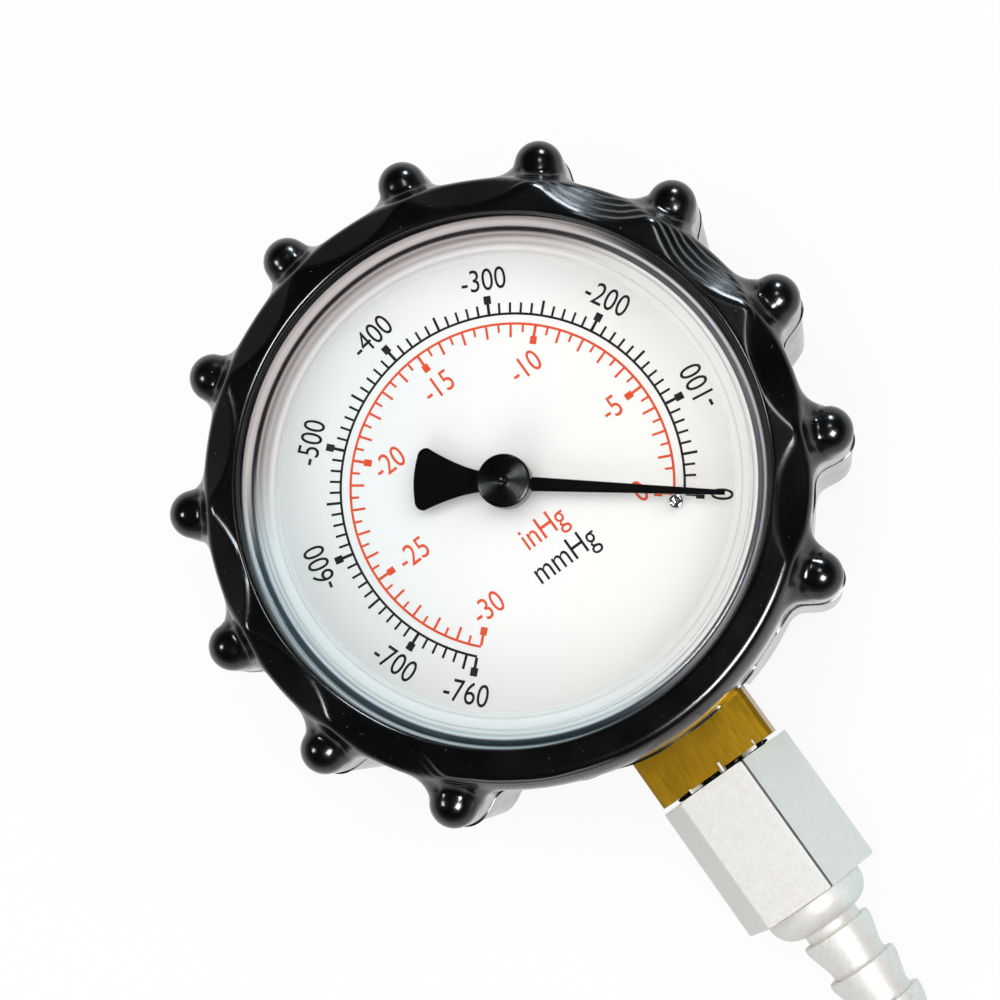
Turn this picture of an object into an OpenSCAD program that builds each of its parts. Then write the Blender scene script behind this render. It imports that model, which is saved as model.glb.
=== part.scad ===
// Bourdon-tube vacuum gauge in a rubber boot, lying on its back, with a hose coupling on its stem.
// Origin: centre of the boot's back face. +Z faces the reader of the dial, +Y is twelve o'clock.

/* [Boot] */
// Thickness of the back lip that holds the case
boot_back_t = 2.2; // [1.6:0.1:3]
// Wall of the boot between the lugs
boot_wall = 1.55; // [1.2:0.05:2.5]
// Thickness of the front ring over the lens rim
boot_ring_t = 1.8; // [1.2:0.1:2.6]
// Step in radius from the wall in to the front ring
ring_step = 0.6; // [0.2:0.1:1]
// Rounding of the front ring's outer edge
ring_edge_r = 1.2; // [0.5:0.1:1.6]
// Opening in the back of the boot
back_opening_d = 50; // [40:1:54]
// Number of grip lugs
lug_count = 12; // [6:1:12]
// Angle from lug to lug
lug_pitch = 25.3; // [24:0.1:26]
// Turn of the lug pattern away from twelve o'clock
lug_turn = -3.5; // [-6:0.5:6]
// Height of a lug above the wall
lug_h = 4.4; // [3:0.1:5.5]
// Rounding of a lug's tip
lug_tip_r = 2.6; // [2:0.1:3]
// Hollow fillet at a lug's foot
lug_fillet_r = 3; // [2:0.1:3.5]
// Rounding of the lugs' back ends
lug_heel_r = 1.5; // [0.5:0.1:2]
// Drop from the lens rim's height to the top of a lug's ball end
lug_drop_h = 0.4; // [0.2:0.1:3]
// Height of the wall's shoulder above the lens rim
shoulder_h = 0.5; // [0.2:0.1:0.6]
// Width of the neck from the front ring to a lug's ball end
lug_neck_w = 2.1; // [1.2:0.1:3]
// Depth of that neck below the front ring and below the ball's top
lug_neck_t = 0.3; // [0.2:0.1:0.8]
// Height of the mould's parting line above the boot's back
parting_h = 21; // [20:0.5:23]
// Width of the thin fin that the mould leaves along its parting line
fin_w = 0.25; // [0.1:0.05:0.5]
// Thickness of that fin
fin_t = 0.3; // [0.2:0.05:0.6]
// Flat band between the opening and the scoops in the front ring
scoop_band_w = 0.5; // [0.3:0.1:1]
// Slope of a scoop away from the ring's front
scoop_slope = 28; // [20:1:30]
// Hollow radius of a scoop
scoop_r = 24; // [18:1:40]

/* [Case] */
// Outer diameter of the case
case_d = 60; // [58:0.5:64]
// Wall of the case
case_wall = 1.3; // [1:0.1:2]
// Thickness of the case's back
case_back_t = 1.6; // [1.2:0.1:2.4]
// Height of the pads that the socket stands on
pad_h = 1.2; // [0.8:0.1:2]
// Width of the ledge that carries the dial
ledge_w = 2.7; // [1.5:0.1:3.5]
// Height of that ledge
ledge_h = 3; // [2:0.1:5]

/* [Lens] */
// Thickness of the lens
lens_t = 1.6; // [1.2:0.1:2.2]
// Air gap from the dial to the lens
lens_gap = 6.1; // [5.8:0.1:8]
// Height of the lens face above its flange
lens_rise = 1; // [0.6:0.1:1.4]
// Width of the lens flange that the boot's front ring holds down
flange_w = 1.5; // [1:0.1:2.5]
// Wall of the skirt that holds the dial down
skirt_w = 2; // [1.2:0.1:2.4]
// Rounding of the lens face's edge
lens_edge_r = 0.7; // [0.3:0.1:0.9]
// Width of the band between the lens face's edge and its groove
lens_band_w = 1.3; // [1:0.1:2]
// Width of the groove in the lens face
lens_groove_w = 0.4; // [0.2:0.05:0.8]
// Depth of the groove in the lens face
lens_groove_t = 0.15; // [0.05:0.05:0.4]

/* [Dial and pointer] */
// Thickness of the dial
dial_t = 0.5; // [0.3:0.1:1]
// Space behind the dial for the plate screws
dial_gap = 2.6; // [1.8:0.1:4]
// Hole in the middle of the dial
dial_hole_d = 3.6; // [3:0.1:5]
// Direction of the pointer at rest, from three o'clock
zero_angle = -38.7; // [-45:0.1:-30]
// Travel of the pointer from zero to full vacuum
pointer_sweep = 262; // [200:1:270]
// Length of the needle from the arbor to its tip
needle_l = 22.6; // [18:0.1:24]
// Width of the needle beside the hub
needle_w = 1.5; // [0.9:0.1:2]
// Width of the needle at its tip
needle_tip_w = 0.5; // [0.3:0.05:0.8]
// Length of the tail from the arbor
tail_l = 9.9; // [7:0.1:12]
// Width of the tail at its end
tail_end_w = 6.6; // [5:0.1:8]
// Width of the tail beside the hub
tail_neck_w = 2.1; // [1.6:0.1:3]
// Thickness of the pointer
pointer_t = 0.4; // [0.3:0.05:0.8]
// Height of the pointer above the dial
pointer_h = 2.2; // [1.6:0.1:3]
// Diameter of the pointer's hub
hub_d = 5.6; // [4:0.1:7]
// Height of the hub's top above the dial
hub_top = 5.4; // [4:0.1:5.6]
// Rise of the hub's face from its edge to the dimple
hub_face_h = 0.45; // [0.2:0.05:0.8]
// Bevel round the hub's face
hub_bevel = 0.2; // [0.1:0.05:0.4]
// Diameter of the dimple in the hub
dimple_d = 1.2; // [0.6:0.1:2]
// Diameter of the circle that the stop pin stands on
stop_circle_d = 35.4; // [28:0.2:40]
// Diameter of the stop pin
stop_d = 1.5; // [1:0.1:2]

/* [Movement] */
// Thickness of the movement plates
plate_t = 1.2; // [0.8:0.1:1.6]
// Width of the plates
plate_w = 13; // [12:0.1:15]
// Height of the pillars between the plates
pillar_h = 6; // [5.6:0.1:8]
// Diameter of a pillar
pillar_d = 3; // [2.4:0.1:3.4]
// Diameter of a pillar's rivet end
tenon_d = 1.6; // [1:0.1:2]
// Diameter of the arbors between the plates
arbor_d = 1.6; // [1.2:0.1:1.8]
// Diameter of the journals in the back plate and of the sector's journals
journal_d = 1; // [0.8:0.05:1.2]
// Diameter of the pinion arbor in the front plate and above
spindle_d = 1.4; // [1.2:0.1:1.6]
// Length of thread of the movement screws and case screws in the socket
socket_thread_l = 4; // [3:0.1:4]
// Length of thread of the plate screws in the pillars
pillar_thread_l = 2.5; // [2:0.1:4]
// Spare depth of a threaded hole past its screw
hole_spare_l = 0.4; // [0.2:0.1:1]
// Height of the plate screws' heads
plate_head_h = 0.9; // [0.6:0.1:1.2]
// Height of the movement screws' heads
movement_head_h = 1.1; // [0.8:0.1:1.4]
// Depth of the case screws' heads below the boot's back
head_recess_l = 0.6; // [0.3:0.1:1]
// Diameter of the movement screws
movement_screw_d = 2.5; // [2:0.1:3]
// Diameter of the plate screws
plate_screw_d = 1.4; // [1:0.1:1.8]
// Diameter of the case screws
case_screw_d = 3; // [2.5:0.1:3.5]
// Distance of the screws from the stem's middle plane
screw_x = 4.4; // [4:0.1:4.8]
// Distance from the sector's shaft up to the movement screws
movement_screw_l = 1.2; // [0.6:0.1:2]
// Distance from the movement screws up to the case screws
case_screw_l = 4.4; // [4.2:0.1:5]
// Distance from the sector's shaft down to the lower pillars
pillar_low_l = 4.45; // [4:0.05:5]
// Distance from the arbor up to the upper pillar
pillar_high_l = 6.4; // [6:0.1:7]
// Spare length of the plates past a pillar's middle
plate_spare_l = 2.25; // [2:0.05:3]
// Corner rounding of the plates
plate_corner_r = 1.5; // [1:0.1:2]

/* [Gears] */
// Module of the teeth
gear_module = 0.25; // [0.2:0.01:0.28]
// Teeth of the pinion
pinion_teeth = 14; // [12:1:16]
// Turns of the pinion for one turn of the sector
gear_ratio = 8; // [7:0.5:9]
// Pressure angle of the teeth
pressure_angle = 25; // [20:1:28]
// Play between the teeth
backlash = 0.06; // [0.04:0.01:0.1]
// Thickness of the sector
sector_t = 0.8; // [0.5:0.1:1.2]
// Length of the pinion
pinion_l = 2.6; // [2:0.1:3]
// Width of the sector's rim
rim_w = 2; // [1.4:0.1:3]
// Width of the sector's arms
arm_w = 1.8; // [1.2:0.1:2.4]
// Diameter of the sector's hub
sector_hub_d = 4.4; // [3.6:0.1:5]
// Distance of the sector below the middle between the plates
sector_drop_h = 0.3; // [0:0.1:0.6]

/* [Hairspring] */
// Turns of the spring
spring_turns = 5; // [3:1:6]
// Thickness of the spring's ribbon
spring_t = 0.15; // [0.1:0.01:0.2]
// Height of the ribbon
spring_h = 0.6; // [0.4:0.1:0.8]
// Distance from turn to turn
spring_gap_w = 0.62; // [0.5:0.01:0.7]
// Distance of the spring below the front plate
spring_drop_h = 1.6; // [1.4:0.1:1.8]
// Wall of the collet on the arbor
collet_wall = 0.6; // [0.4:0.1:0.8]
// Height of the collet
collet_h = 1; // [0.8:0.1:1.2]
// Diameter of the stud at the spring's outer end
stud_d = 0.9; // [0.6:0.1:1.2]
// Direction of the stud
stud_angle = 160; // [150:1:200]

/* [Linkage] */
// Distance from the sector's shaft to the tail pin
tail_arm = 3.8; // [3.4:0.1:4.2]
// Direction of the sector's tail at rest
tail_angle = -29; // [-40:0.5:-20]
// Width of the link, and of the tail that carries it
link_w = 2; // [1.6:0.1:2.4]
// Thickness of the link
link_t = 0.6; // [0.4:0.1:0.8]
// Diameter of the link pins
link_pin_d = 1; // [0.8:0.05:1.2]
// Diameter of the circle through the tip pin about the arbor
tip_circle_d = 30; // [28:0.2:32]
// Direction of the tip pin
tip_pin_angle = -25; // [-30:1:-20]
// Play of the link on the tip pin
tip_play = 0.25; // [0.2:0.01:0.4]

/* [Bourdon tube] */
// Diameter of the tube's bend
tube_bend_d = 40; // [38:0.2:44]
// Thickness of the flattened tube
tube_t = 2.4; // [1.8:0.1:3]
// Width of the flattened tube
tube_w = 7; // [5:0.1:7.4]
// Wall of the tube
tube_wall = 0.35; // [0.2:0.05:0.5]
// Distance of the tube below the movement's seat
tube_drop_h = 0.5; // [0.3:0.1:1]
// Direction of the tube's free end
tube_end_angle = -20; // [-24:1:-16]
// Direction of the tube's soldered end
tube_root_angle = 262; // [258:1:264]
// Wall of the tip piece around the tube
tip_wall = 0.6; // [0.4:0.1:1]

/* [Socket] */
// Width across the flats of the square stem
stem_af = 14; // [13:0.1:16]
// Bright bevel along the stem's edges
stem_bevel = 0.5; // [0.2:0.1:1]
// Distance from the arbor to the lower end of the square stem
stem_end = 36.6; // [35:0.1:42]
// Length of the stem's shoulder past the plates' lower edge
tongue_spare_l = 0.7; // [0.4:0.1:1]
// Thickness of the tongue inside the case
tongue_t = 8; // [7.6:0.1:9]
// Diameter of the threaded end
nipple_d = 10; // [9:0.1:10.4]
// Length of the threaded end
nipple_l = 10; // [8:0.1:11]
// Diameter of the bore of the stem
stem_bore_d = 3.2; // [2:0.1:4]
// Diameter of the channel to the tube
channel_d = 1.6; // [1:0.1:2]

/* [Coupling] */
// Width across the flats of the hexagon
hex_af = 14.3; // [14:0.05:17]
// Length of the hexagon
hex_l = 15.8; // [14:0.1:20]
// Turn of the hexagon about the stem
hex_turn = 10.5; // [0:0.5:30]
// Depth of the turned bevel on the hexagon's corners
hex_bevel = 0.3; // [0.1:0.05:0.8]
// Gap between the stem's shoulder and the hexagon
hex_gap = 0.5; // [0.2:0.1:1]
// Depth of the threaded hole
socket_depth = 11.5; // [11.2:0.1:13]
// Diameter of the round collar below the hexagon
collar_d = 11.6; // [10:0.1:13]
// Length of the collar
collar_l = 3.2; // [2.4:0.1:5]
// Diameter over the barbs of the hose tail
barb_d = 8; // [7:0.1:9]
// Diameter between the barbs
tail_d = 6.4; // [5.6:0.1:6.8]
// Number of barbs
barb_count = 4; // [2:1:5]
// Distance from barb to barb
barb_pitch = 4.5; // [3.5:0.1:6]
// Share of that distance before a barb's crest
barb_start = 0.25; // [0.1:0.05:0.5]
// Length of a barb's cylindrical crest
barb_land = 0.8; // [0.4:0.1:1.2]
// Diameter of the tail's bore
tail_bore_d = 4; // [2.5:0.1:4.6]

/* [Clearances] */
// Play of a shaft in its bearing, on the radius
bearing_fit = 0.04; // [0.02:0.01:0.08]
// Gap between pieces that are pushed or soldered together, on the radius
close_fit = 0.05; // [0.02:0.01:0.1]
// Thickness of the sealing tape
tape_t = 0.12; // [0.05:0.01:0.2]
// Play of a shaft along its length
end_play = 0.1; // [0.05:0.01:0.2]
// Gap between the front ring and the lens face, on the radius
ring_gap = 0.3; // [0.2:0.05:0.6]
// Gap between the dial's edge and the case, on the radius
dial_fit = 0.3; // [0.1:0.05:0.5]
// Gap of the boot around the stem
slot_gap = 0.5; // [0.3:0.1:1]

/* [Hidden] */
$fn = 96;
// Overlap of a cut past the face that it opens
cut = 1;

// Heights, from the boot's back face up
case_z = boot_back_t;
floor_z = case_z + case_back_t;
socket_z = floor_z + pad_h;
stem_z = socket_z + stem_af / 2;
seat_z = socket_z + tongue_t;
plates_z = seat_z + plate_t;
front_z = plates_z + pillar_h;
dial_z = front_z + plate_t + dial_gap;
face_z = dial_z + dial_t;
glass_z = face_z + lens_gap;
rim_z = glass_z + lens_t - lens_rise;
ring_z = rim_z + boot_ring_t;
pointer_z = face_z + pointer_h;
sector_z = plates_z + (pillar_h - sector_t) / 2 - sector_drop_h;
link_z = sector_z + sector_t + end_play;
tube_z = seat_z - tube_drop_h - tube_w / 2;

// Radius of the tube's bend
tube_r = tube_bend_d / 2;

// Radii of the case and the boot
case_r = case_d / 2;
case_in_r = case_r - case_wall;
pocket_r = case_r + close_fit;
wall_r = pocket_r + boot_wall;
lug_r = wall_r + lug_h;
ring_r = wall_r - ring_step;
lug_centre_r = lug_r - lug_tip_r;
lug_nose_z = rim_z - lug_drop_h - lug_tip_r;
fillet_centre_r = wall_r + lug_fillet_r;
fillet_reach = lug_tip_r + lug_fillet_r;
fillet_angle = acos((pow(fillet_centre_r, 2) + pow(lug_centre_r, 2) - pow(fillet_reach, 2))
    / (2 * fillet_centre_r * lug_centre_r));
lens_r = case_in_r - 2 * close_fit;
lens_face_r = lens_r - flange_w;
ring_opening_d = 2 * (lens_face_r + ring_gap);
scoop_in_r = ring_opening_d / 2 + scoop_band_w;
dial_r = case_in_r - dial_fit;

// Gear pair: the pinion turns about the origin, the sector about a shaft below it
sector_teeth = pinion_teeth * gear_ratio;
pinion_pitch_r = gear_module * pinion_teeth / 2;
sector_pitch_r = gear_module * sector_teeth / 2;
shaft_y = -(pinion_pitch_r + sector_pitch_r);
tooth_angle = 360 / sector_teeth;
swing_teeth = ceil(pointer_sweep / gear_ratio / tooth_angle);
spare_teeth = 3;
rim_in_r = sector_pitch_r - 1.25 * gear_module - rim_w;
sector_mid = 90 + (swing_teeth / 2) * tooth_angle;

// Places on the movement
pillar_low_y = shaft_y - pillar_low_l;
plate_low_y = pillar_low_y - plate_spare_l - close_fit;
plate_high_y = pillar_high_l + plate_spare_l - close_fit;
pillar_x = plate_w / 2 - pillar_d / 2;
movement_screw_y = shaft_y + movement_screw_l;
case_screw_y = movement_screw_y + case_screw_l;
tongue_low_y = plate_low_y - tongue_spare_l;
tongue_high_y = case_screw_y + 0.9 * case_screw_d;
pillar_places = [[-pillar_x, pillar_low_y], [pillar_x, pillar_low_y], [0, pillar_high_l]];
movement_screw_places = [for (s = [-1, 1]) [s * screw_x, movement_screw_y]];
case_screw_places = [for (s = [-1, 1]) [s * screw_x, case_screw_y]];

// Link ends at rest
tip_pin_r = tip_circle_d / 2;
tail_pin_at = [tail_arm * cos(tail_angle), shaft_y + tail_arm * sin(tail_angle)];
tip_pin_at = [tip_pin_r * cos(tip_pin_angle), tip_pin_r * sin(tip_pin_angle)];
link_run = tip_pin_at - tail_pin_at;
pin_head_h = 0.4;
pin_head_d = link_pin_d + 0.8;

// Hairspring: a spiral of flat wire round the arbor
spring_steps = 24;
collet_d = arbor_d + 2 * collet_wall;
spring_in_r = collet_d / 2 + spring_t / 2;
spring_out_r = spring_in_r + spring_turns * spring_gap_w;
spring_z = front_z - end_play - spring_drop_h;

// Socket and coupling along the stem
hex_top = stem_end + hex_gap;
nipple_end = stem_end + nipple_l;
thread_hole_d = nipple_d + 2 * tape_t + 2 * close_fit;
hex_corner_d = hex_af / cos(30);
tail_l_hose = barb_count * barb_pitch;

// Shapes used by several pieces

// Flat oval standing along the second axis
module stadium(thick, tall) {
    square([thick, tall - thick], center = true);
    for (s = [-1, 1])
        translate([0, s * (tall - thick) / 2])
            circle(d = thick);
}

// Rectangle with rounded corners, from low to high
module rounded_plate(low, high, r) {
    translate([low[0] + r, low[1]])
        square([high[0] - low[0] - 2 * r, high[1] - low[1]]);
    translate([low[0], low[1] + r])
        square([high[0] - low[0], high[1] - low[1] - 2 * r]);
    for (x = [low[0] + r, high[0] - r], y = [low[1] + r, high[1] - r])
        translate([x, y])
            circle(r = r);
}

// Flat bar with round ends, from the origin along a direction
module bar_outline(run, w) {
    rotate(atan2(run[1], run[0])) {
        translate([0, -w / 2])
            square([norm(run), w]);
        circle(d = w);
        translate([norm(run), 0])
            circle(d = w);
    }
}

// Upright cylinder between two heights
module post(d, low, high) {
    translate([0, 0, low])
        cylinder(d = d, h = high - low);
}

// Round-headed screw with a slot; the head's seat is at z = 0 and the shank points down
module screw(shank_d, shank_l, head_d, head_h) {
    difference() {
        union() {
            cylinder(d = head_d, h = head_h);
            translate([0, 0, -shank_l])
                cylinder(d = shank_d, h = shank_l + cut / 2);
        }
        translate([-head_d / 2 - cut, -head_d / 14, head_h * 0.55])
            cube([head_d + 2 * cut, head_d / 7, head_h]);
    }
}

// Puts children on the stem's axis at a distance from the arbor, with their +Z down the stem
module on_stem(distance) {
    translate([0, -distance, stem_z])
        rotate([90, 0, 0])
            children();
}

// Solid of a flat oval bent round the arbor between two directions
module bent_oval(thick, tall, from, to) {
    rotate([0, 0, from])
        rotate_extrude(angle = to - from)
            translate([tube_r, tube_z])
                stadium(thick, tall);
}

// Involute teeth

// Involute function of the pressure angle at radius r, in degrees
function involute(base_r, r) =
    let (a = acos(min(1, base_r / r)))
    tan(a) * 180 / PI - a;

// Half of a tooth's angle at radius r; the flank is radial below the base circle
function half_tooth(teeth, r) =
    let (pitch_r = gear_module * teeth / 2, base_r = pitch_r * cos(pressure_angle))
    90 / teeth - backlash / 4 / pitch_r * 180 / PI
    + involute(base_r, pitch_r) - involute(base_r, max(r, base_r));

// Outline points of one tooth about a direction, from its right root to its left root
function tooth_points(teeth, direction) =
    let (pitch_r = gear_module * teeth / 2, root_r = pitch_r - 1.25 * gear_module,
        tip_r = pitch_r + gear_module, steps = 5,
        radii = [for (i = [0 : steps]) root_r + (tip_r - root_r) * i / steps])
    concat([for (r = radii) polar(r, direction - half_tooth(teeth, r))],
        [for (i = [steps : -1 : 0]) polar(radii[i], direction + half_tooth(teeth, radii[i]))]);

// Point at a radius and a direction
function polar(r, direction) = [r * cos(direction), r * sin(direction)];

// The boot

// Directions of the lugs
function lug_angle(i) = 90 + lug_turn + (i - (lug_count - 1) / 2) * lug_pitch;

// Hollow fillets of one lug along +X, from the wall out to the lug's round post, grown by a width
module web_outline(grow = 0) {
    difference() {
        polygon([[0, 0], polar(fillet_centre_r, -fillet_angle), [lug_centre_r, 0],
            polar(fillet_centre_r, fillet_angle)]);
        for (s = [-1, 1])
            translate(polar(fillet_centre_r, s * fillet_angle))
                circle(r = lug_fillet_r - grow - 0.02);
    }
}

// The wall's circle with the lugs' fillets, seen from the front and grown by a width
module wall_outline(grow = 0) {
    circle(r = wall_r + grow);
    for (i = [0 : lug_count - 1])
        rotate(lug_angle(i))
            web_outline(grow);
}

// Thin fin round the wall and the lugs at the mould's parting line
module parting_fin() {
    translate([0, 0, parting_h])
        linear_extrude(height = fin_t) {
            wall_outline(fin_w);
            for (i = [0 : lug_count - 1])
                rotate(lug_angle(i))
                    translate([lug_centre_r, 0])
                        circle(r = lug_tip_r + fin_w);
        }
}

// Half section that the wall and the fillets keep within: they slope from the ring to the balls' middles
module wall_envelope() {
    slope = (rim_z + shoulder_h - lug_nose_z) / (lug_centre_r - ring_r);
    in_r = ring_r - ring_edge_r / 3;
    in_z = rim_z + shoulder_h + slope * ring_edge_r / 3;
    polygon([[0, -cut], [lug_r, -cut], [lug_r, lug_nose_z - slope * lug_tip_r], [in_r, in_z], [0, in_z]]);
}

// Round post of a lug with a ball at its front end and a rounded back end
module lug_post() {
    rotate_extrude()
        intersection() {
            union() {
                square([lug_tip_r - lug_heel_r, lug_nose_z]);
                translate([0, lug_heel_r])
                    square([lug_tip_r, lug_nose_z - lug_heel_r]);
                translate([lug_tip_r - lug_heel_r, lug_heel_r])
                    circle(r = lug_heel_r);
                translate([0, lug_nose_z])
                    circle(r = lug_tip_r);
            }
            translate([0, -cut])
                square([lug_tip_r + cut, lug_nose_z + lug_tip_r + 2 * cut]);
        }
}

// Neck along +X, sloping from the front ring down to the ball
module lug_neck() {
    ball_top = lug_nose_z + lug_tip_r - lug_neck_t;
    translate([0, lug_neck_w / 2, 0])
        rotate([90, 0, 0])
            linear_extrude(height = lug_neck_w)
                polygon([[ring_r - ring_edge_r, lug_nose_z], [lug_centre_r, lug_nose_z],
                    [lug_centre_r, ball_top], [ring_r - ring_edge_r, ring_z - lug_neck_t]]);
}

// Round cutter along +X for one scoop: its lowest line starts at the flat band and slopes outwards
module scoop_cutter() {
    reach = 1.5 * (lug_r - scoop_in_r);
    translate([scoop_in_r, 0, ring_z])
        rotate([0, 90 + scoop_slope, 0])
            translate([-scoop_r, 0, -reach])
                cylinder(r = scoop_r, h = 2 * reach);
}

// Half section of the front ring with its rounded edge
module ring_section() {
    translate([0, rim_z - cut])
        square([ring_r, boot_ring_t + cut - ring_edge_r]);
    translate([0, rim_z])
        square([ring_r - ring_edge_r, boot_ring_t]);
    translate([ring_r - ring_edge_r, ring_z - ring_edge_r])
        circle(r = ring_edge_r);
}

module rubber_boot() {
    slot_w = stem_af + 2 * slot_gap;
    color([0.06, 0.06, 0.07])
    difference() {
        union() {
            intersection() {
                linear_extrude(height = ring_z)
                    wall_outline();
                rotate_extrude()
                    wall_envelope();
            }
            for (i = [0 : lug_count - 1])
                rotate([0, 0, lug_angle(i)]) {
                    translate([lug_centre_r, 0, 0])
                        lug_post();
                    lug_neck();
                }
            rotate_extrude()
                ring_section();
            parting_fin();
        }
        for (i = [0 : lug_count - 2])
            rotate([0, 0, lug_angle(i + 0.5)])
                scoop_cutter();
        post(2 * pocket_r, case_z, rim_z);
        post(back_opening_d, -cut, case_z + cut);
        post(ring_opening_d, rim_z - cut, ring_z + cut);
        translate([-slot_w / 2, -lug_r - cut, -cut])
            cube([slot_w, lug_r, stem_z + stem_af / 2 + slot_gap + cut]);
    }
}

// The case, the lens and the dial

module case() {
    window_w = stem_af + 2 * close_fit;
    color([0.1, 0.1, 0.11])
    difference() {
        union() {
            difference() {
                post(case_d, case_z, rim_z);
                post(2 * case_in_r, floor_z, dial_z - ledge_h);
                post(2 * (case_in_r - ledge_w), floor_z, dial_z + cut);
                post(2 * case_in_r, dial_z, rim_z + cut);
            }
            for (p = case_screw_places)
                translate(p)
                    post(2 * case_screw_d, floor_z - cut / 2, socket_z);
        }
        translate([-window_w / 2, -case_r - cut, socket_z])
            cube([window_w, case_wall + 3 * cut, stem_af + close_fit]);
        for (p = case_screw_places)
            translate(p)
                post(case_screw_d + 2 * close_fit, case_z - cut, socket_z + cut);
    }
}

module lens() {
    color([0.85, 0.9, 0.92, 0.35])
    rotate_extrude()
        difference() {
            union() {
                translate([lens_r - skirt_w, face_z])
                    square([skirt_w, rim_z - face_z]);
                translate([0, glass_z])
                    square([lens_r - cut / 2, rim_z - glass_z]);
                translate([0, glass_z])
                    square([lens_face_r, lens_t - lens_edge_r]);
                translate([0, glass_z])
                    square([lens_face_r - lens_edge_r, lens_t]);
                translate([lens_face_r - lens_edge_r, glass_z + lens_t - lens_edge_r])
                    circle(r = lens_edge_r);
            }
            translate([lens_face_r - lens_band_w - lens_groove_w, glass_z + lens_t - lens_groove_t])
                square([lens_groove_w, lens_groove_t + cut]);
        }
}

// Place of the stop pin: it touches the needle's clockwise side at rest
stop_r = stop_circle_d / 2;
stop_needle_w = needle_w + (needle_tip_w - needle_w) * stop_r / needle_l;
stop_angle = zero_angle - asin((stop_needle_w / 2 + stop_d / 2 + close_fit) / stop_r);
stop_shank_d = stop_d * 0.7;

module dial() {
    color("white")
    difference() {
        post(2 * dial_r, dial_z, face_z);
        post(dial_hole_d, dial_z - cut, face_z + cut);
        translate(polar(stop_r, stop_angle))
            post(stop_shank_d + close_fit, dial_z - cut, face_z + cut);
    }
}

module stop_pin() {
    top_z = pointer_z + pointer_t + 0.4;
    color([0.75, 0.75, 0.77])
    translate(polar(stop_r, stop_angle)) {
        post(stop_shank_d, dial_z - 0.8, face_z + cut / 2);
        difference() {
            post(stop_d, face_z, top_z);
            translate([0, 0, top_z + stop_d / 4])
                sphere(d = stop_d * 0.9);
        }
    }
}

// The pointer and what turns with it

// Flared tail along +X: a wedge with hollow sides and a gently rounded end
module tail_outline() {
    flank = [tail_l * 0.42, tail_neck_w / 2];
    hollow_r = 11;
    intersection() {
        difference() {
            polygon([[0, -tail_neck_w / 2], [flank[0], -flank[1]], [tail_l, -tail_end_w / 2],
                [tail_l, tail_end_w / 2], [flank[0], flank[1]], [0, tail_neck_w / 2]]);
            for (s = [-1, 1])
                translate([flank[0] - 0.6, s * (flank[1] + hollow_r)])
                    circle(r = hollow_r);
        }
        circle(r = tail_l);
    }
}

module pointer() {
    color([0.05, 0.05, 0.05])
    rotate([0, 0, zero_angle])
    difference() {
        translate([0, 0, pointer_z])
            linear_extrude(height = pointer_t) {
                polygon([[0, -needle_w / 2], [needle_l, -needle_tip_w / 2],
                    [needle_l, needle_tip_w / 2], [0, needle_w / 2]]);
                rotate(180)
                    tail_outline();
                circle(d = hub_d * 0.8);
            }
        post(hub_d * 0.5, pointer_z - cut, pointer_z + pointer_t + cut);
    }
}

module pointer_hub() {
    low_z = pointer_z + pointer_t;
    top_z = face_z + hub_top;
    edge_z = top_z - hub_face_h;
    neck_d = hub_d * 0.5 - 2 * close_fit;
    color([0.07, 0.07, 0.07])
    difference() {
        union() {
            post(neck_d, pointer_z - 0.8, low_z + cut / 2);
            rotate_extrude()
                polygon([[0, low_z], [hub_d / 2, low_z], [hub_d / 2, edge_z - hub_bevel],
                    [hub_d / 2 - hub_bevel, edge_z], [dimple_d / 2, top_z], [0, top_z]]);
        }
        translate([0, 0, top_z + dimple_d / 4])
            sphere(d = dimple_d);
        post(spindle_d + close_fit, pointer_z - cut, top_z - 1.2);
    }
}

module pinion_arbor() {
    pinion_z = sector_z + sector_t / 2 - pinion_l / 2;
    color([0.78, 0.68, 0.4]) {
        post(journal_d, seat_z + end_play, plates_z + end_play + cut / 2);
        post(arbor_d, plates_z + end_play, front_z - end_play);
        post(spindle_d, front_z - end_play - cut / 2, face_z + hub_top - 1.3);
        translate([0, 0, pinion_z])
            linear_extrude(height = pinion_l)
                polygon([for (i = [0 : pinion_teeth - 1])
                    each tooth_points(pinion_teeth, -90 + i * 360 / pinion_teeth)]);
    }
}

// Point on the spring's spiral after a number of turns, at a distance from its middle line
function spring_point(turns, side) =
    polar(spring_in_r + spring_gap_w * turns + side * spring_t / 2,
        stud_angle + 360 * (turns - spring_turns));

module hairspring() {
    last = spring_turns * spring_steps;
    color([0.82, 0.6, 0.35])
    translate([0, 0, spring_z])
        linear_extrude(height = spring_h)
            polygon(concat([for (i = [0 : last]) spring_point(i / spring_steps, -1)],
                [for (i = [last : -1 : 0]) spring_point(i / spring_steps, 1)]));
}

module hairspring_collet() {
    color([0.8, 0.65, 0.35])
    difference() {
        post(collet_d, spring_z - (collet_h - spring_h) / 2, spring_z + (collet_h + spring_h) / 2);
        post(arbor_d + close_fit, spring_z - cut, spring_z + spring_h + cut);
    }
}

module hairspring_stud() {
    stud_r = spring_out_r + (spring_t + stud_d) / 2;
    color([0.8, 0.65, 0.35])
    translate(polar(stud_r, stud_angle))
        post(stud_d, spring_z - 0.2, front_z);
}

// The sector and the link

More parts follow.
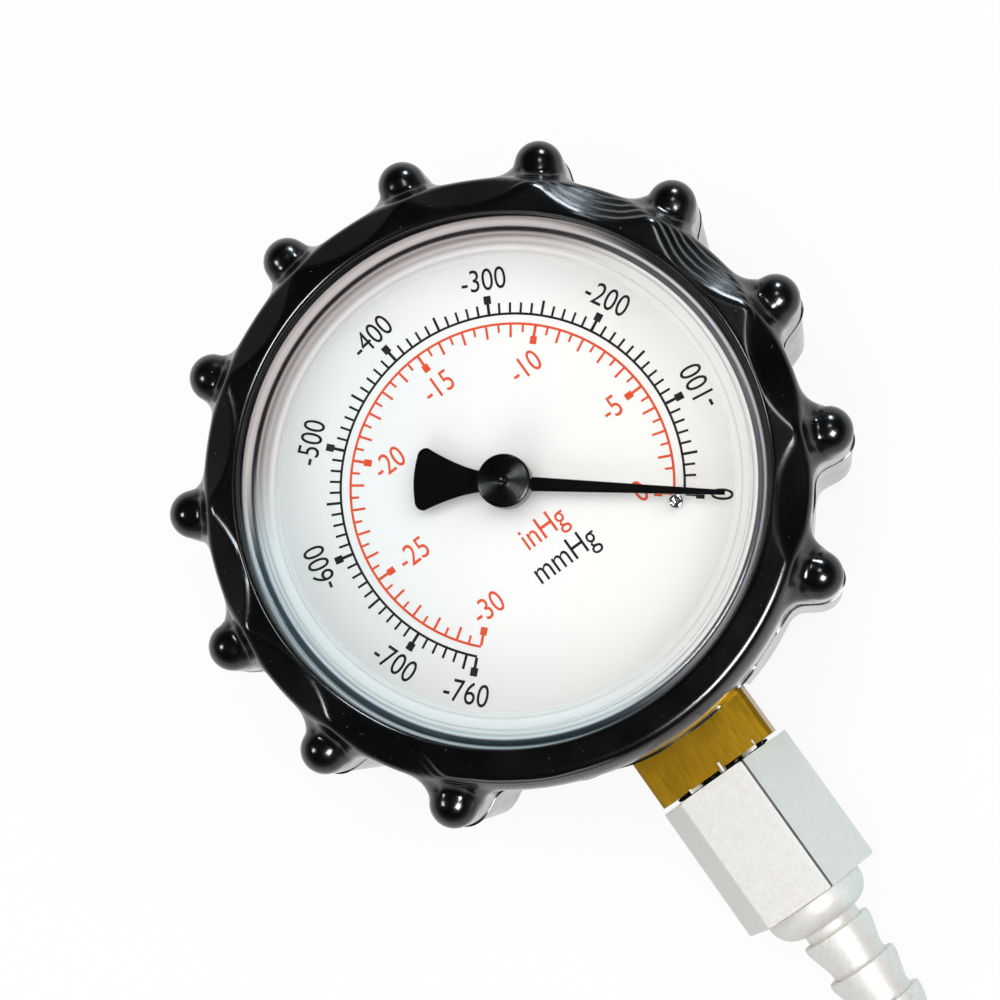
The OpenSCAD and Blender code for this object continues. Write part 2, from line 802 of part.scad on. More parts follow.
// Sector at rest, about its own shaft: toothed rim, two arms, hub and tail
module sector_outline() {
    difference() {
        polygon(concat([[0, 0]], [for (k = [-spare_teeth : swing_teeth + spare_teeth - 1])
            each tooth_points(sector_teeth, 90 + (k + 0.5) * tooth_angle)]));
        circle(r = rim_in_r);
    }
    half_rim = (swing_teeth / 2 + spare_teeth) * tooth_angle;
    for (s = [-1, 1])
        rotate(sector_mid + s * (half_rim - 6))
            translate([0, -arm_w / 2])
                square([rim_in_r + rim_w / 2, arm_w]);
    circle(d = sector_hub_d);
    bar_outline(tail_pin_at - [0, shaft_y], link_w);
}

module sector_gear() {
    color([0.8, 0.66, 0.36])
    translate([0, shaft_y, sector_z])
    difference() {
        linear_extrude(height = sector_t)
            sector_outline();
        post(arbor_d + close_fit, -cut, sector_t + cut);
        translate(tail_pin_at - [0, shaft_y])
            post(link_pin_d + close_fit, -cut, sector_t + cut);
    }
}

module sector_shaft() {
    color([0.72, 0.72, 0.74])
    translate([0, shaft_y]) {
        post(journal_d, seat_z + end_play, front_z + plate_t);
        post(arbor_d, plates_z + end_play, front_z - end_play);
    }
}

module link() {
    color([0.78, 0.68, 0.42])
    difference() {
        translate(concat(tail_pin_at, link_z))
            linear_extrude(height = link_t)
                bar_outline(link_run, link_w);
        translate(tail_pin_at)
            post(link_pin_d + 2 * bearing_fit, link_z - cut, link_z + link_t + cut);
        translate(tip_pin_at)
            post(link_pin_d + 2 * tip_play, link_z - cut, link_z + link_t + cut);
    }
}

// Pin with a flat head above the link; its shank goes down through the piece below
module link_pin(low_z) {
    head_z = link_z + link_t + end_play;
    post(link_pin_d, low_z, head_z + cut / 4);
    post(pin_head_d, head_z, head_z + pin_head_h);
}

module tail_pin() {
    color([0.7, 0.7, 0.72])
    translate(tail_pin_at)
        link_pin(sector_z);
}

module tip_pin() {
    color([0.7, 0.7, 0.72])
    translate(tip_pin_at)
        link_pin(sector_z);
}

// The Bourdon tube and its tip

module bourdon_tube() {
    color([0.8, 0.62, 0.34])
    difference() {
        bent_oval(tube_t, tube_w, tube_end_angle, tube_root_angle);
        bent_oval(tube_t - 2 * tube_wall, tube_w - 2 * tube_wall, tube_end_angle - 1, tube_root_angle + 1);
    }
}

// Tip: a cap over the tube's end, a riser up to the link and an ear in to the tip pin
module tube_tip() {
    cap_t = tube_t + 2 * tip_wall;
    grip = 2.5;
    reach = 4;
    ear_from = polar(tube_r, tube_end_angle - reach / 2);
    color([0.76, 0.64, 0.38])
    difference() {
        union() {
            bent_oval(cap_t, tube_w + 2 * tip_wall, tube_end_angle - reach, tube_end_angle + grip);
            translate([0, 0, tube_z])
                linear_extrude(height = sector_z + sector_t - tube_z)
                    translate(ear_from)
                        circle(d = link_w);
            translate(concat(ear_from, sector_z))
                linear_extrude(height = sector_t)
                    bar_outline(tip_pin_at - ear_from, link_w);
        }
        bent_oval(tube_t + 2 * close_fit, tube_w + 2 * close_fit, tube_end_angle, tube_end_angle + grip + 1);
        translate(tip_pin_at)
            post(link_pin_d + close_fit, sector_z - cut, sector_z + sector_t + cut);
    }
}

// The movement's frame

// Outline that both plates share
module plate_outline() {
    rounded_plate([-plate_w / 2, plate_low_y], [plate_w / 2, plate_high_y], plate_corner_r);
}

module back_plate() {
    color([0.8, 0.68, 0.38])
    difference() {
        translate([0, 0, seat_z])
            linear_extrude(height = plate_t)
                plate_outline();
        for (p = [[0, 0], [0, shaft_y]])
            translate(p)
                post(journal_d + 2 * bearing_fit, seat_z - cut, plates_z + cut);
        for (p = pillar_places)
            translate(p)
                post(tenon_d + close_fit, seat_z - cut, plates_z + cut);
        for (p = movement_screw_places)
            translate(p)
                post(movement_screw_d + 2 * close_fit, seat_z - cut, plates_z + cut);
    }
}

module front_plate() {
    color([0.8, 0.68, 0.38])
    difference() {
        translate([0, 0, front_z])
            linear_extrude(height = plate_t)
                plate_outline();
        post(spindle_d + 2 * bearing_fit, front_z - cut, front_z + plate_t + cut);
        translate([0, shaft_y])
            post(journal_d + 2 * bearing_fit, front_z - cut, front_z + plate_t + cut);
        for (p = pillar_places)
            translate(p)
                post(plate_screw_d + 2 * close_fit, front_z - cut, front_z + plate_t + cut);
    }
}

module plate_pillars() {
    color([0.78, 0.66, 0.36])
    for (p = pillar_places)
        translate(p)
            difference() {
                union() {
                    post(pillar_d, plates_z, front_z);
                    post(tenon_d, seat_z, plates_z + cut / 2);
                }
                post(plate_screw_d + close_fit, front_z - pillar_thread_l - hole_spare_l, front_z + cut);
            }
}

module plate_screws() {
    color([0.72, 0.72, 0.74])
    for (p = pillar_places)
        translate(concat(p, front_z + plate_t))
            screw(plate_screw_d, plate_t + pillar_thread_l, 2 * plate_screw_d, plate_head_h);
}

module movement_screws() {
    color([0.72, 0.72, 0.74])
    for (p = movement_screw_places)
        translate(concat(p, plates_z))
            screw(movement_screw_d, plate_t + socket_thread_l, 1.6 * movement_screw_d, movement_head_h);
}

module case_screws() {
    color([0.7, 0.7, 0.72])
    for (p = case_screw_places)
        translate(concat(p, case_z))
            rotate([180, 0, 0])
                screw(case_screw_d, case_back_t + pad_h + socket_thread_l, 1.8 * case_screw_d,
                    boot_back_t - head_recess_l);
}

// The socket, the tape and the coupling

// Square stem with bevelled edges, in the plane across the stem
module stem_section() {
    half = stem_af / 2;
    flat = half - stem_bevel;
    polygon([[half, -flat], [half, flat], [flat, half], [-flat, half],
        [-half, flat], [-half, -flat], [-flat, -half], [flat, -half]]);
}

module brass_socket() {
    turn_y = tongue_low_y - 1.6;
    color([0.72, 0.55, 0.2])
    difference() {
        union() {
            on_stem(-tongue_low_y)
                linear_extrude(height = stem_end + tongue_low_y)
                    stem_section();
            translate([-stem_af / 2, tongue_low_y - cut, socket_z])
                cube([stem_af, tongue_high_y - tongue_low_y + cut, tongue_t]);
            on_stem(stem_end - cut)
                cylinder(d = nipple_d, h = nipple_l + cut);
        }
        on_stem(-turn_y)
            cylinder(d = stem_bore_d, h = nipple_end + turn_y + cut);
        bent_oval(tube_t + 2 * close_fit, tube_w + 2 * close_fit, 240, tube_root_angle);
        tube_channel([0, turn_y - stem_bore_d / 2, stem_z], concat(polar(tube_r, tube_root_angle), tube_z));
        for (p = movement_screw_places)
            translate(p)
                post(movement_screw_d + close_fit, seat_z - socket_thread_l - hole_spare_l, seat_z + cut);
        for (p = case_screw_places)
            translate(p)
                post(case_screw_d + close_fit, socket_z - cut, socket_z + socket_thread_l + hole_spare_l);
    }
}

// Drilling from the stem's bore to the tube's root
module tube_channel(from, to) {
    run = to - from;
    translate(from)
        rotate([0, acos(run[2] / norm(run)), atan2(run[1], run[0])])
            cylinder(d = channel_d, h = norm(run));
}

module thread_tape() {
    color([0.95, 0.95, 0.95])
    on_stem(stem_end)
        difference() {
            cylinder(d = nipple_d + 2 * tape_t, h = nipple_l - 1);
            translate([0, 0, -cut])
                cylinder(d = nipple_d, h = nipple_l + 2 * cut);
        }
}

// Hexagon with both ends turned to a bevel, from z = 0 up
module hex_body() {
    face_r = hex_corner_d / 2 - hex_bevel;
    clear_r = hex_corner_d / 2 + cut;
    bevel_l = (clear_r - face_r) * tan(30);
    intersection() {
        rotate(hex_turn)
            cylinder(d = hex_corner_d, h = hex_l, $fn = 6);
        rotate_extrude()
            polygon([[0, 0], [face_r, 0], [clear_r, bevel_l], [clear_r, hex_l - bevel_l],
                [face_r, hex_l], [0, hex_l]]);
    }
}

// Round collar with a domed shoulder, then the barbed tail, from the hexagon's lower face up
module hose_tail() {
    shoulder_r = (collar_d - tail_d) / 2;
    straight_l = collar_l - shoulder_r;
    step_l = barb_pitch * barb_start;
    rotate_extrude() {
        translate([0, -cut])
            square([collar_d / 2, straight_l + cut]);
        intersection() {
            translate([tail_d / 2, straight_l])
                circle(r = shoulder_r);
            translate([0, straight_l - cut])
                square([collar_d, shoulder_r + 2 * cut]);
        }
        polygon(concat([[0, 0]],
            [for (i = [0 : barb_count - 1]) let (z = collar_l + i * barb_pitch) each [
                [tail_d / 2, i == 0 ? 0 : z], [tail_d / 2, z + step_l],
                [barb_d / 2, z + step_l], [barb_d / 2, z + step_l + barb_land]]],
            [[tail_d / 2, collar_l + tail_l_hose], [0, collar_l + tail_l_hose]]));
    }
}

module hose_coupling() {
    color([0.85, 0.86, 0.86])
    on_stem(hex_top)
        difference() {
            union() {
                hex_body();
                translate([0, 0, hex_l])
                    hose_tail();
            }
            translate([0, 0, -cut])
                cylinder(d = thread_hole_d, h = socket_depth + cut);
            cylinder(d = tail_bore_d, h = hex_l + collar_l + tail_l_hose + cut);
        }
}

rubber_boot();
case();
lens();
dial();
stop_pin();
pointer();
pointer_hub();
pinion_arbor();
hairspring();
hairspring_collet();
hairspring_stud();
sector_gear();
sector_shaft();
link();
tail_pin();
tip_pin();
tube_tip();
bourdon_tube();
back_plate();
front_plate();
plate_pillars();
plate_screws();
movement_screws();
case_screws();
brass_socket();
thread_tape();
hose_coupling();
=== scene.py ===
"""Looks of a Bourdon-tube vacuum gauge in a rubber boot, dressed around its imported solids.

All sizes are in millimetres in the part's own frame: the gauge lies on its back, +Z faces the reader,
+Y is twelve o'clock and the stem points to -Y.
"""

import logging
import math
from dataclasses import dataclass, field
from enum import Enum

import bmesh
import bpy
import numpy as np
from mathutils import Matrix, Vector


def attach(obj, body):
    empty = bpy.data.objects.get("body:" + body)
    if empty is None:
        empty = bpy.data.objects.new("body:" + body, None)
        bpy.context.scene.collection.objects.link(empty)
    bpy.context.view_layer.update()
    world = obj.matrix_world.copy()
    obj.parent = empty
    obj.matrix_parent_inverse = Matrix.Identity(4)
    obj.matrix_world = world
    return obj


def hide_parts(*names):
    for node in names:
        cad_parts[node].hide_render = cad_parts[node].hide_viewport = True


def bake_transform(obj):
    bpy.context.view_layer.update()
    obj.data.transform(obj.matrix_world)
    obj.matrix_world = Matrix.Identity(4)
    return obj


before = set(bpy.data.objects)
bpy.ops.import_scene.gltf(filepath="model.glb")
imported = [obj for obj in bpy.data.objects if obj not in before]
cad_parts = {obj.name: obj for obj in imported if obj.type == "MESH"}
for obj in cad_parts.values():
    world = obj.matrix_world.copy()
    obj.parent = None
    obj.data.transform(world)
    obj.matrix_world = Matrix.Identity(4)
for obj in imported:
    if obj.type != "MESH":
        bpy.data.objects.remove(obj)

LOG = logging.getLogger("gauge")
MM = 0.001
INCH = 25.4
STEM_Z = 12.0
FACE_Z = 24.5
IN_MM = (1 / MM, 1 / MM, 1 / MM)
IN_PLAN = (1 / MM, 1 / MM, 0)
ROUND_STEM = (1 / MM, 0, 1 / MM)
Triple = tuple[float, float, float]
Colour = Triple


class Body(Enum):
    """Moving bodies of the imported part."""

    HOUSING = "housing"
    POINTER = "pointer_train"
    TIP = "tip"


# Geometry


@dataclass
class Surface:
    """Points in millimetres and the faces over them, with a finish index for each face."""

    points: np.ndarray
    faces: list[list[int]]
    finish: list[int] = field(default_factory=list)

    def joined(self, other: "Surface") -> "Surface":
        """Puts another surface beside this one.

        Args:
            other: the surface to add.

        Returns:
            One surface with the faces of both.
        """
        shift = len(self.points)
        own = self.finish or [0] * len(self.faces)
        added = other.finish or [0] * len(other.faces)
        faces = self.faces + [[i + shift for i in f] for f in other.faces]
        return Surface(np.vstack([self.points, other.points]), faces, own + added)


def grid_faces(rows: int, cols: int, loop_rows: bool, loop_cols: bool) -> np.ndarray:
    """Quads over a grid of points that is stored row by row.

    Args:
        rows: number of rows.
        cols: number of columns.
        loop_rows: whether the last row joins the first.
        loop_cols: whether the last column joins the first.

    Returns:
        An array of four point numbers a quad, shaped (row steps, column steps, 4).
    """
    i = np.arange(rows if loop_rows else rows - 1)[:, None]
    j = np.arange(cols if loop_cols else cols - 1)[None, :]
    i2, j2 = (i + 1) % rows, (j + 1) % cols
    return np.stack([i * cols + j, i * cols + j2, i2 * cols + j2, i2 * cols + j], -1)


def grid_surface(points: np.ndarray, loop_rows: bool, loop_cols: bool) -> Surface:
    """Surface over a grid of points.

    Args:
        points: array shaped (rows, columns, 3).
        loop_rows: whether the last row joins the first.
        loop_cols: whether the last column joins the first.

    Returns:
        The surface with one quad in each cell.
    """
    quads = grid_faces(points.shape[0], points.shape[1], loop_rows, loop_cols)
    return Surface(points.reshape(-1, 3), quads.reshape(-1, 4).tolist())


def revolved(profile: np.ndarray, steps: int) -> Surface:
    """Surface of revolution about +Z: each profile point (r, z) goes to (r cos a, r sin a, z).

    Args:
        profile: array of radius and height, shaped (n, 2).
        steps: number of steps round the axis.

    Returns:
        The revolved surface.
    """
    a = np.linspace(0, 2 * np.pi, steps, endpoint=False)
    r, z = profile[:, 0][:, None], profile[:, 1][:, None]
    points = np.stack([r * np.cos(a), r * np.sin(a), z + 0 * a], -1)
    return grid_surface(points, False, True)


def arc(centre: tuple[float, float], radius: float, start: float, end: float, count: int) -> np.ndarray:
    """Points on an arc: the centre plus the radius times (cos t, sin t), with t from start to end.

    Args:
        centre: centre of the arc.
        radius: its radius.
        start: first angle in degrees.
        end: last angle in degrees.
        count: number of points.

    Returns:
        Array shaped (count, 2).
    """
    t = np.radians(np.linspace(start, end, count))
    return np.stack([centre[0] + radius * np.cos(t), centre[1] + radius * np.sin(t)], -1)


def smooth_min(a: np.ndarray, b: np.ndarray, width: float) -> np.ndarray:
    """Smaller of two heights, with the corner between them rounded over a width.

    The blend h runs from 0 to 1 over that width, and h (1 - h) times the width is taken off.

    Args:
        a: first height.
        b: second height.
        width: how far the rounding reaches.

    Returns:
        The rounded minimum.
    """
    h = np.clip(0.5 + 0.5 * (b - a) / width, 0, 1)
    return b * (1 - h) + a * h - width * h * (1 - h)


def ripple(angle: np.ndarray, height: np.ndarray, seed: int, size: float) -> np.ndarray:
    """Slow uneven swell of a moulded wall: a sum of eight sines with fixed random phases.

    Args:
        angle: direction in radians.
        height: height in millimetres.
        seed: number that fixes the phases.
        size: largest swell in millimetres.

    Returns:
        The swell at each point.
    """
    rng = np.random.default_rng(seed)
    turns = rng.integers(2, 40, 8)
    climb = rng.uniform(-0.5, 0.5, 8)
    phase = rng.uniform(0, 2 * np.pi, 8)
    waves = np.sin(angle[..., None] * turns + height[..., None] * climb + phase)
    return size * waves.mean(-1)


def outline_slab(outline: np.ndarray, low: float, high: float, bevel: float) -> Surface:
    """Flat plate with bevelled edges from a closed outline.

    Four copies of the outline are stacked: the two outer ones are drawn in by the bevel along the
    outline's normals, and flat faces close both ends.

    Args:
        outline: points of the outline, counter-clockwise, shaped (n, 2).
        low: height of the underside.
        high: height of the top.
        bevel: size of the bevel.

    Returns:
        The closed plate.
    """
    ahead = np.roll(outline, -1, 0) - np.roll(outline, 1, 0)
    normal = np.stack([ahead[:, 1], -ahead[:, 0]], -1)
    normal /= np.linalg.norm(normal, axis=1)[:, None] + 1e-12
    drawn = outline - normal * bevel
    layers = [(drawn, low), (outline, low + bevel), (outline, high - bevel), (drawn, high)]
    points = np.stack([np.column_stack([p, np.full(len(p), z)]) for p, z in layers])
    surface = grid_surface(points, False, True)
    n = len(outline)
    surface.faces += [list(range(n - 1, -1, -1)), list(range(3 * n, 4 * n))]
    return surface


def down_stem(points: np.ndarray) -> np.ndarray:
    """Turns points made along +Z so that they run down the stem.

    A point (x, y, z) goes to (x, -z, stem height + y).

    Args:
        points: array whose last axis holds x, y and z.

    Returns:
        The turned points.
    """
    return np.stack([points[..., 0], -points[..., 2], STEM_Z + points[..., 1]], -1)


def make_piece(name: str, surface: Surface, body: Body | None,
               finishes: list[bpy.types.Material], crease: float = 35.0,
               closed: bool = True) -> bpy.types.Object:
    """Makes a mesh object of a surface and lets it ride on a body.

    Args:
        name: name of the piece.
        surface: its points and faces.
        body: body that it moves with, or none to leave it on no body.
        finishes: materials, in the order of the surface's finish numbers.
        crease: angle in degrees above which an edge is sharp.
        closed: whether the surface is a closed shell, whose normals can be worked out.

    Returns:
        The new object.
    """
    mesh = bpy.data.meshes.new(name)
    mesh.from_pydata((surface.points * MM).tolist(), [], surface.faces)
    if surface.finish:
        mesh.polygons.foreach_set("material_index", surface.finish)
    bm = bmesh.new()
    bm.from_mesh(mesh)
    bmesh.ops.remove_doubles(bm, verts=bm.verts, dist=1e-6)
    bmesh.ops.dissolve_degenerate(bm, edges=bm.edges, dist=1e-7)
    if closed:
        bmesh.ops.recalc_face_normals(bm, faces=bm.faces)
    bm.to_mesh(mesh)
    bm.free()
    mesh.polygons.foreach_set("use_smooth", np.ones(len(mesh.polygons), bool))
    mesh.set_sharp_from_angle(angle=math.radians(crease))
    for material in finishes:
        mesh.materials.append(material)
    piece = bpy.data.objects.new(name, mesh)
    bpy.context.scene.collection.objects.link(piece)
    if body:
        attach(piece, body.value)
    LOG.info("%s: %d faces on %s", name, len(mesh.polygons), body.value if body else "two bodies")
    return piece


# Finishes


class Tree:
    """Node tree, with short calls that add and join its nodes."""

    def __init__(self, tree: bpy.types.NodeTree) -> None:
        """Takes a tree and empties it."""
        self.tree = tree
        self.tree.nodes.clear()

    def node(self, kind: str, **values: object) -> bpy.types.Node:
        """Adds a node.

        Args:
            kind: the node's type name without its prefix.
            values: its properties, or the values of its inputs.

        Returns:
            The new node.
        """
        made = self.tree.nodes.new("ShaderNode" + kind)
        for key, value in values.items():
            if hasattr(made, key):
                setattr(made, key, value)
            else:
                made.inputs[key.replace("_", " ")].default_value = value
        return made

    def link(self, source: bpy.types.NodeSocket, target: bpy.types.NodeSocket) -> None:
        """Joins two sockets."""
        self.tree.links.new(source, target)

    def maths(self, kind: str, first: bpy.types.NodeSocket,
              second: bpy.types.NodeSocket | float | None = None) -> bpy.types.NodeSocket:
        """Adds a sum.

        Args:
            kind: name of the operation.
            first: first input.
            second: second input, a socket or a plain number.

        Returns:
            The value socket.
        """
        made = self.node("Math", operation=kind)
        self.link(first, made.inputs[0])
        if isinstance(second, float):
            made.inputs[1].default_value = second
        elif second is not None:
            self.link(second, made.inputs[1])
        return made.outputs[0]

    def remap(self, value: bpy.types.NodeSocket, source: tuple[float, float],
              target: tuple[float, float] = (0.0, 1.0), kind: str = "LINEAR") -> bpy.types.NodeSocket:
        """Maps one range onto another and stops at its ends.

        Args:
            value: the input socket.
            source: the range that comes in.
            target: the range that goes out.
            kind: LINEAR, or SMOOTHSTEP for soft ends.

        Returns:
            The value socket.
        """
        made = self.node("MapRange", interpolation_type=kind)
        for key, bound in zip(("From Min", "From Max", "To Min", "To Max"), (*source, *target)):
            made.inputs[key].default_value = bound
        self.link(value, made.inputs["Value"])
        return made.outputs["Result"]

    def mix(self, share: bpy.types.NodeSocket, first: bpy.types.Node,
            second: bpy.types.Node) -> bpy.types.Node:
        """Mixes two shaders.

        Args:
            share: share of the second shader.
            first: shader at 0.
            second: shader at 1.

        Returns:
            The mixing node.
        """
        made = self.node("MixShader")
        for source, target in zip((share, first.outputs[0], second.outputs[0]), made.inputs):
            self.link(source, target)
        return made


class Shader(Tree):
    """Node tree of one material, whose main node is a Principled shader."""

    def __init__(self, name: str) -> None:
        """Starts the material."""
        self.material = bpy.data.materials.new(name)
        self.material.use_nodes = True
        super().__init__(self.material.node_tree)
        self.main = self.node("BsdfPrincipled")
        self.link(self.main.outputs[0], self.node("OutputMaterial").inputs[0])

    def set(self, **values: float | Colour) -> None:
        """Sets sockets of the main shader by name, with spaces written as underscores."""
        for key, value in values.items():
            socket = self.main.inputs[key.replace("_", " ")]
            socket.default_value = (*value, 1.0) if isinstance(value, tuple) else value

    def place(self, scale: Triple = (1, 1, 1), turn: Triple = (0, 0, 0)) -> bpy.types.NodeSocket:
        """Object coordinates, stretched and turned.

        Args:
            scale: stretch along each axis.
            turn: turn about each axis in radians.

        Returns:
            The vector socket.
        """
        where = self.node("TexCoord")
        mapped = self.node("Mapping")
        mapped.inputs["Scale"].default_value = scale
        mapped.inputs["Rotation"].default_value = turn
        self.link(where.outputs["Object"], mapped.inputs["Vector"])
        return mapped.outputs["Vector"]

    def along(self, axis: str, scale: Triple = IN_MM, turn: Triple = (0, 0, 0)) -> bpy.types.NodeSocket:
        """One coordinate of the place.

        Args:
            axis: X, Y or Z.
            scale: stretch along each axis.
            turn: turn about each axis in radians.

        Returns:
            The value socket.
        """
        split = self.node("SeparateXYZ")
        self.link(self.place(scale, turn), split.inputs[0])
        return split.outputs[axis]

    def distance(self, middle: Triple, scale: Triple) -> bpy.types.NodeSocket:
        """Distance from a point: the length of the stretched place less that point.

        Args:
            middle: the point.
            scale: stretch along each axis, zero for an axis that doesn't count.

        Returns:
            The value socket.
        """
        shifted = self.node("VectorMath", operation="SUBTRACT")
        shifted.inputs[1].default_value = middle
        self.link(self.place(scale), shifted.inputs[0])
        length = self.node("VectorMath", operation="LENGTH")
        self.link(shifted.outputs[0], length.inputs[0])
        return length.outputs["Value"]

    def noise(self, scale: float, detail: float = 3.0, rough: float = 0.5,
              stretch: Triple = (1, 1, 1)) -> bpy.types.NodeSocket:
        """Noise on Object coordinates.

        Args:
            scale: noise scale in repeats a metre.
            detail: number of finer layers.
            rough: strength of the finer layers.
            stretch: stretch of the coordinates.

        Returns:
            The factor socket.
        """
        made = self.node("TexNoise", Scale=scale, Detail=detail, Roughness=rough)
        self.link(self.place(stretch), made.inputs["Vector"])
        return made.outputs["Fac"]

    def ramp(self, factor: bpy.types.NodeSocket, stops: list[tuple[float, Colour]]) -> bpy.types.NodeSocket:
        """Colour ramp over a factor.

        Args:
            factor: the input socket.
            stops: places and colours.

        Returns:
            The colour socket.
        """
        made = self.node("ValToRGB")
        band = made.color_ramp.elements
        band[0].position, band[0].color = stops[0][0], (*stops[0][1], 1)
        band[1].position, band[1].color = stops[-1][0], (*stops[-1][1], 1)
        for place, colour in stops[1:-1]:
            band.new(place).color = (*colour, 1)
        self.link(factor, made.inputs["Fac"])
        return made.outputs["Color"]

    def spread(self, factor: bpy.types.NodeSocket, low: float, high: float) -> bpy.types.NodeSocket:
        """Maps a noise factor, which mostly lies from 0.3 to 0.7, onto a range.

        Args:
            factor: the input socket.
            low: value at 0.3.
            high: value at 0.7.

        Returns:
            The value socket.
        """
        return self.remap(factor, (0.3, 0.7), (low, high))

    def blend(self, factor: bpy.types.NodeSocket | float, first: bpy.types.NodeSocket,
              second: bpy.types.NodeSocket | Colour) -> bpy.types.NodeSocket:
        """Mixes two colours.

        Args:
            factor: share of the second colour, a socket or a plain number.
            first: colour at 0.
            second: colour at 1, a socket or a plain colour.

        Returns:
            The colour socket.
        """
        made = self.node("Mix", data_type="RGBA")
        for value, target in ((factor, made.inputs[0]), (first, made.inputs[6]), (second, made.inputs[7])):
            if isinstance(value, float):
                target.default_value = value
            elif isinstance(value, tuple):
                target.default_value = (*value, 1)
            else:
                self.link(value, target)
        return made.outputs[2]

    def towards(self, way: float, edge: float, soft: float) -> bpy.types.NodeSocket:
        """One towards a direction in the dial's plane, fading to zero across it.

        Args:
            way: direction in degrees.
            edge: cosine at the middle of the fade.
            soft: half the fade's width, as a cosine.

        Returns:
            The factor socket.
        """
        unit = self.node("VectorMath", operation="NORMALIZE")
        self.link(self.place(IN_PLAN), unit.inputs[0])
        dot = self.node("VectorMath", operation="DOT_PRODUCT")
        dot.inputs[1].default_value = (math.cos(math.radians(way)), math.sin(math.radians(way)), 0)
        self.link(unit.outputs[0], dot.inputs[0])
        return self.remap(dot.outputs["Value"], (edge - soft, edge + soft), kind="SMOOTHSTEP")

    def bump(self, height: bpy.types.NodeSocket, strength: float, depth: float) -> None:
        """Bumps the main shader's normal.

        Args:
            height: height socket.
            strength: share of the bump.
            depth: its depth in millimetres.
        """
        made = self.node("Bump", Strength=strength, Distance=depth * MM)
        self.link(height, made.inputs["Height"])
        self.link(made.outputs["Normal"], self.main.inputs["Normal"])


@dataclass(frozen=True)
class Rubber:
    """Glossy moulded rubber: dark body, cloudy gloss, fine skin, pale dust specks and mould lines.

    The mould lines follow the height, as contours do, where the front falls away between the lugs; they are
    ridges with a painted highlight on them, and show towards two directions only.
    """

    name: str = "boot_rubber"
    colour: Colour = (0.0008, 0.0009, 0.0011)
    cloud: Colour = (0.0016, 0.0018, 0.0022)
    dust: Colour = (0.09, 0.095, 0.1)
    line_highlight: Colour = (0.13, 0.145, 0.155)
    line_highlight_share: float = 2.6
    gloss: float = 0.26
    coat: float = 0.4
    coat_rough: float = 0.1
    rough: tuple[float, float] = (0.17, 0.25)
    skin: float = 0.028
    relief: float = 0.36
    line_gap: float = 0.42
    line_height: float = 0.35
    line_waver: float = 0.35
    starts_z: tuple[float, float] = (31.0, 31.5)
    stops_z: tuple[float, float] = (32.8, 32.93)
    lined: tuple[tuple[float, float], ...] = ((24.0, 0.9), (239.0, 0.965))
    line_fade: float = 0.03

    def material(self) -> bpy.types.Material:
        """Builds the material."""
        s = Shader(self.name)
        s.set(Specular_IOR_Level=self.gloss, Coat_Weight=self.coat, Coat_Roughness=self.coat_rough)
        specks = s.ramp(s.noise(2600, 2), [(0.0, (0, 0, 0)), (0.72, (0, 0, 0)), (0.77, (0.7, 0.7, 0.7))])
        body = s.ramp(s.noise(160, 3), [(0.3, self.colour), (0.7, self.cloud)])
        ridges = self.contours(s)
        dusty = s.blend(specks, body, self.dust)
        # Painted highlight: the mould lines' ridges are painted paler than the body.
        shade = s.blend(s.maths("MULTIPLY", ridges, self.line_highlight_share), dusty, self.line_highlight)
        s.link(shade, s.main.inputs["Base Color"])
        s.link(s.spread(s.noise(260, 4), *self.rough), s.main.inputs["Roughness"])
        skin = s.maths("MULTIPLY", s.noise(1300, 4, 0.6), self.skin)
        s.bump(s.maths("ADD", skin, ridges), 1.0, self.relief)
        return s.material

    def contours(self, s: Shader) -> bpy.types.NodeSocket:
        """Height of the mould lines: narrow ridges, the square of the upper half of a sine of the height.

        The height wavers a little, and the ridges fade out away from the two directions and on the flat top;
        the same height sets the share of the painted highlight.

        Args:
            s: shader to add to.

        Returns:
            The height socket.
        """
        height = s.along("Z")
        waver = s.maths("ADD", height, s.maths("MULTIPLY", s.noise(240, 2), self.line_waver))
        wave = s.maths("SINE", s.maths("MULTIPLY", waver, 2 * math.pi / self.line_gap))
        ridge = s.maths("POWER", s.maths("MAXIMUM", wave, 0.0), 2.0)
        for share in (s.remap(height, self.starts_z, (0.0, self.line_height)),
                      s.remap(height, self.stops_z, (1.0, 0.0)),
                      s.maths("ADD", *(s.towards(way, edge, self.line_fade) for way, edge in self.lined))):
            ridge = s.maths("MULTIPLY", ridge, share)
        return ridge


@dataclass(frozen=True)
class Plastic:
    """Moulded plastic with a fine grain."""

    name: str
    colour: Colour
    rough: float = 0.4
    grain: float = 1800.0
    gloss: float = 0.5
    mottle: float = 1.0

    def material(self) -> bpy.types.Material:
        """Builds the material."""
        s = Shader(self.name)
        s.set(Specular_IOR_Level=self.gloss)
        lighter = tuple(min(1.0, c * (1 + 0.3 * self.mottle)) for c in self.colour)
        s.link(s.ramp(s.noise(420, 3), [(0.3, self.colour), (0.7, lighter)]), s.main.inputs["Base Color"])
        wander = 0.07 * self.mottle
        rough = s.spread(s.noise(700, 3), self.rough - wander, self.rough + wander)
        s.link(rough, s.main.inputs["Roughness"])
        s.bump(s.noise(self.grain, 3), 0.2 * self.mottle, 0.03)
        return s.material


@dataclass(frozen=True)
class ClearLens:
    """Clear moulded plastic: mostly see-through, with a share that mirrors the room."""

    name: str
    tint: Colour
    cover: float
    rough: float

    def material(self) -> bpy.types.Material:
        """Builds the material."""
        s = Shader(self.name)
        s.set(Alpha=self.cover, Metallic=1.0)
        deeper = tuple(c * 0.9 for c in self.tint)
        s.link(s.ramp(s.noise(90, 2), [(0.35, self.tint), (0.65, deeper)]), s.main.inputs["Base Color"])
        s.link(s.spread(s.noise(400, 3), self.rough * 0.7, self.rough * 1.4), s.main.inputs["Roughness"])
        return s.material


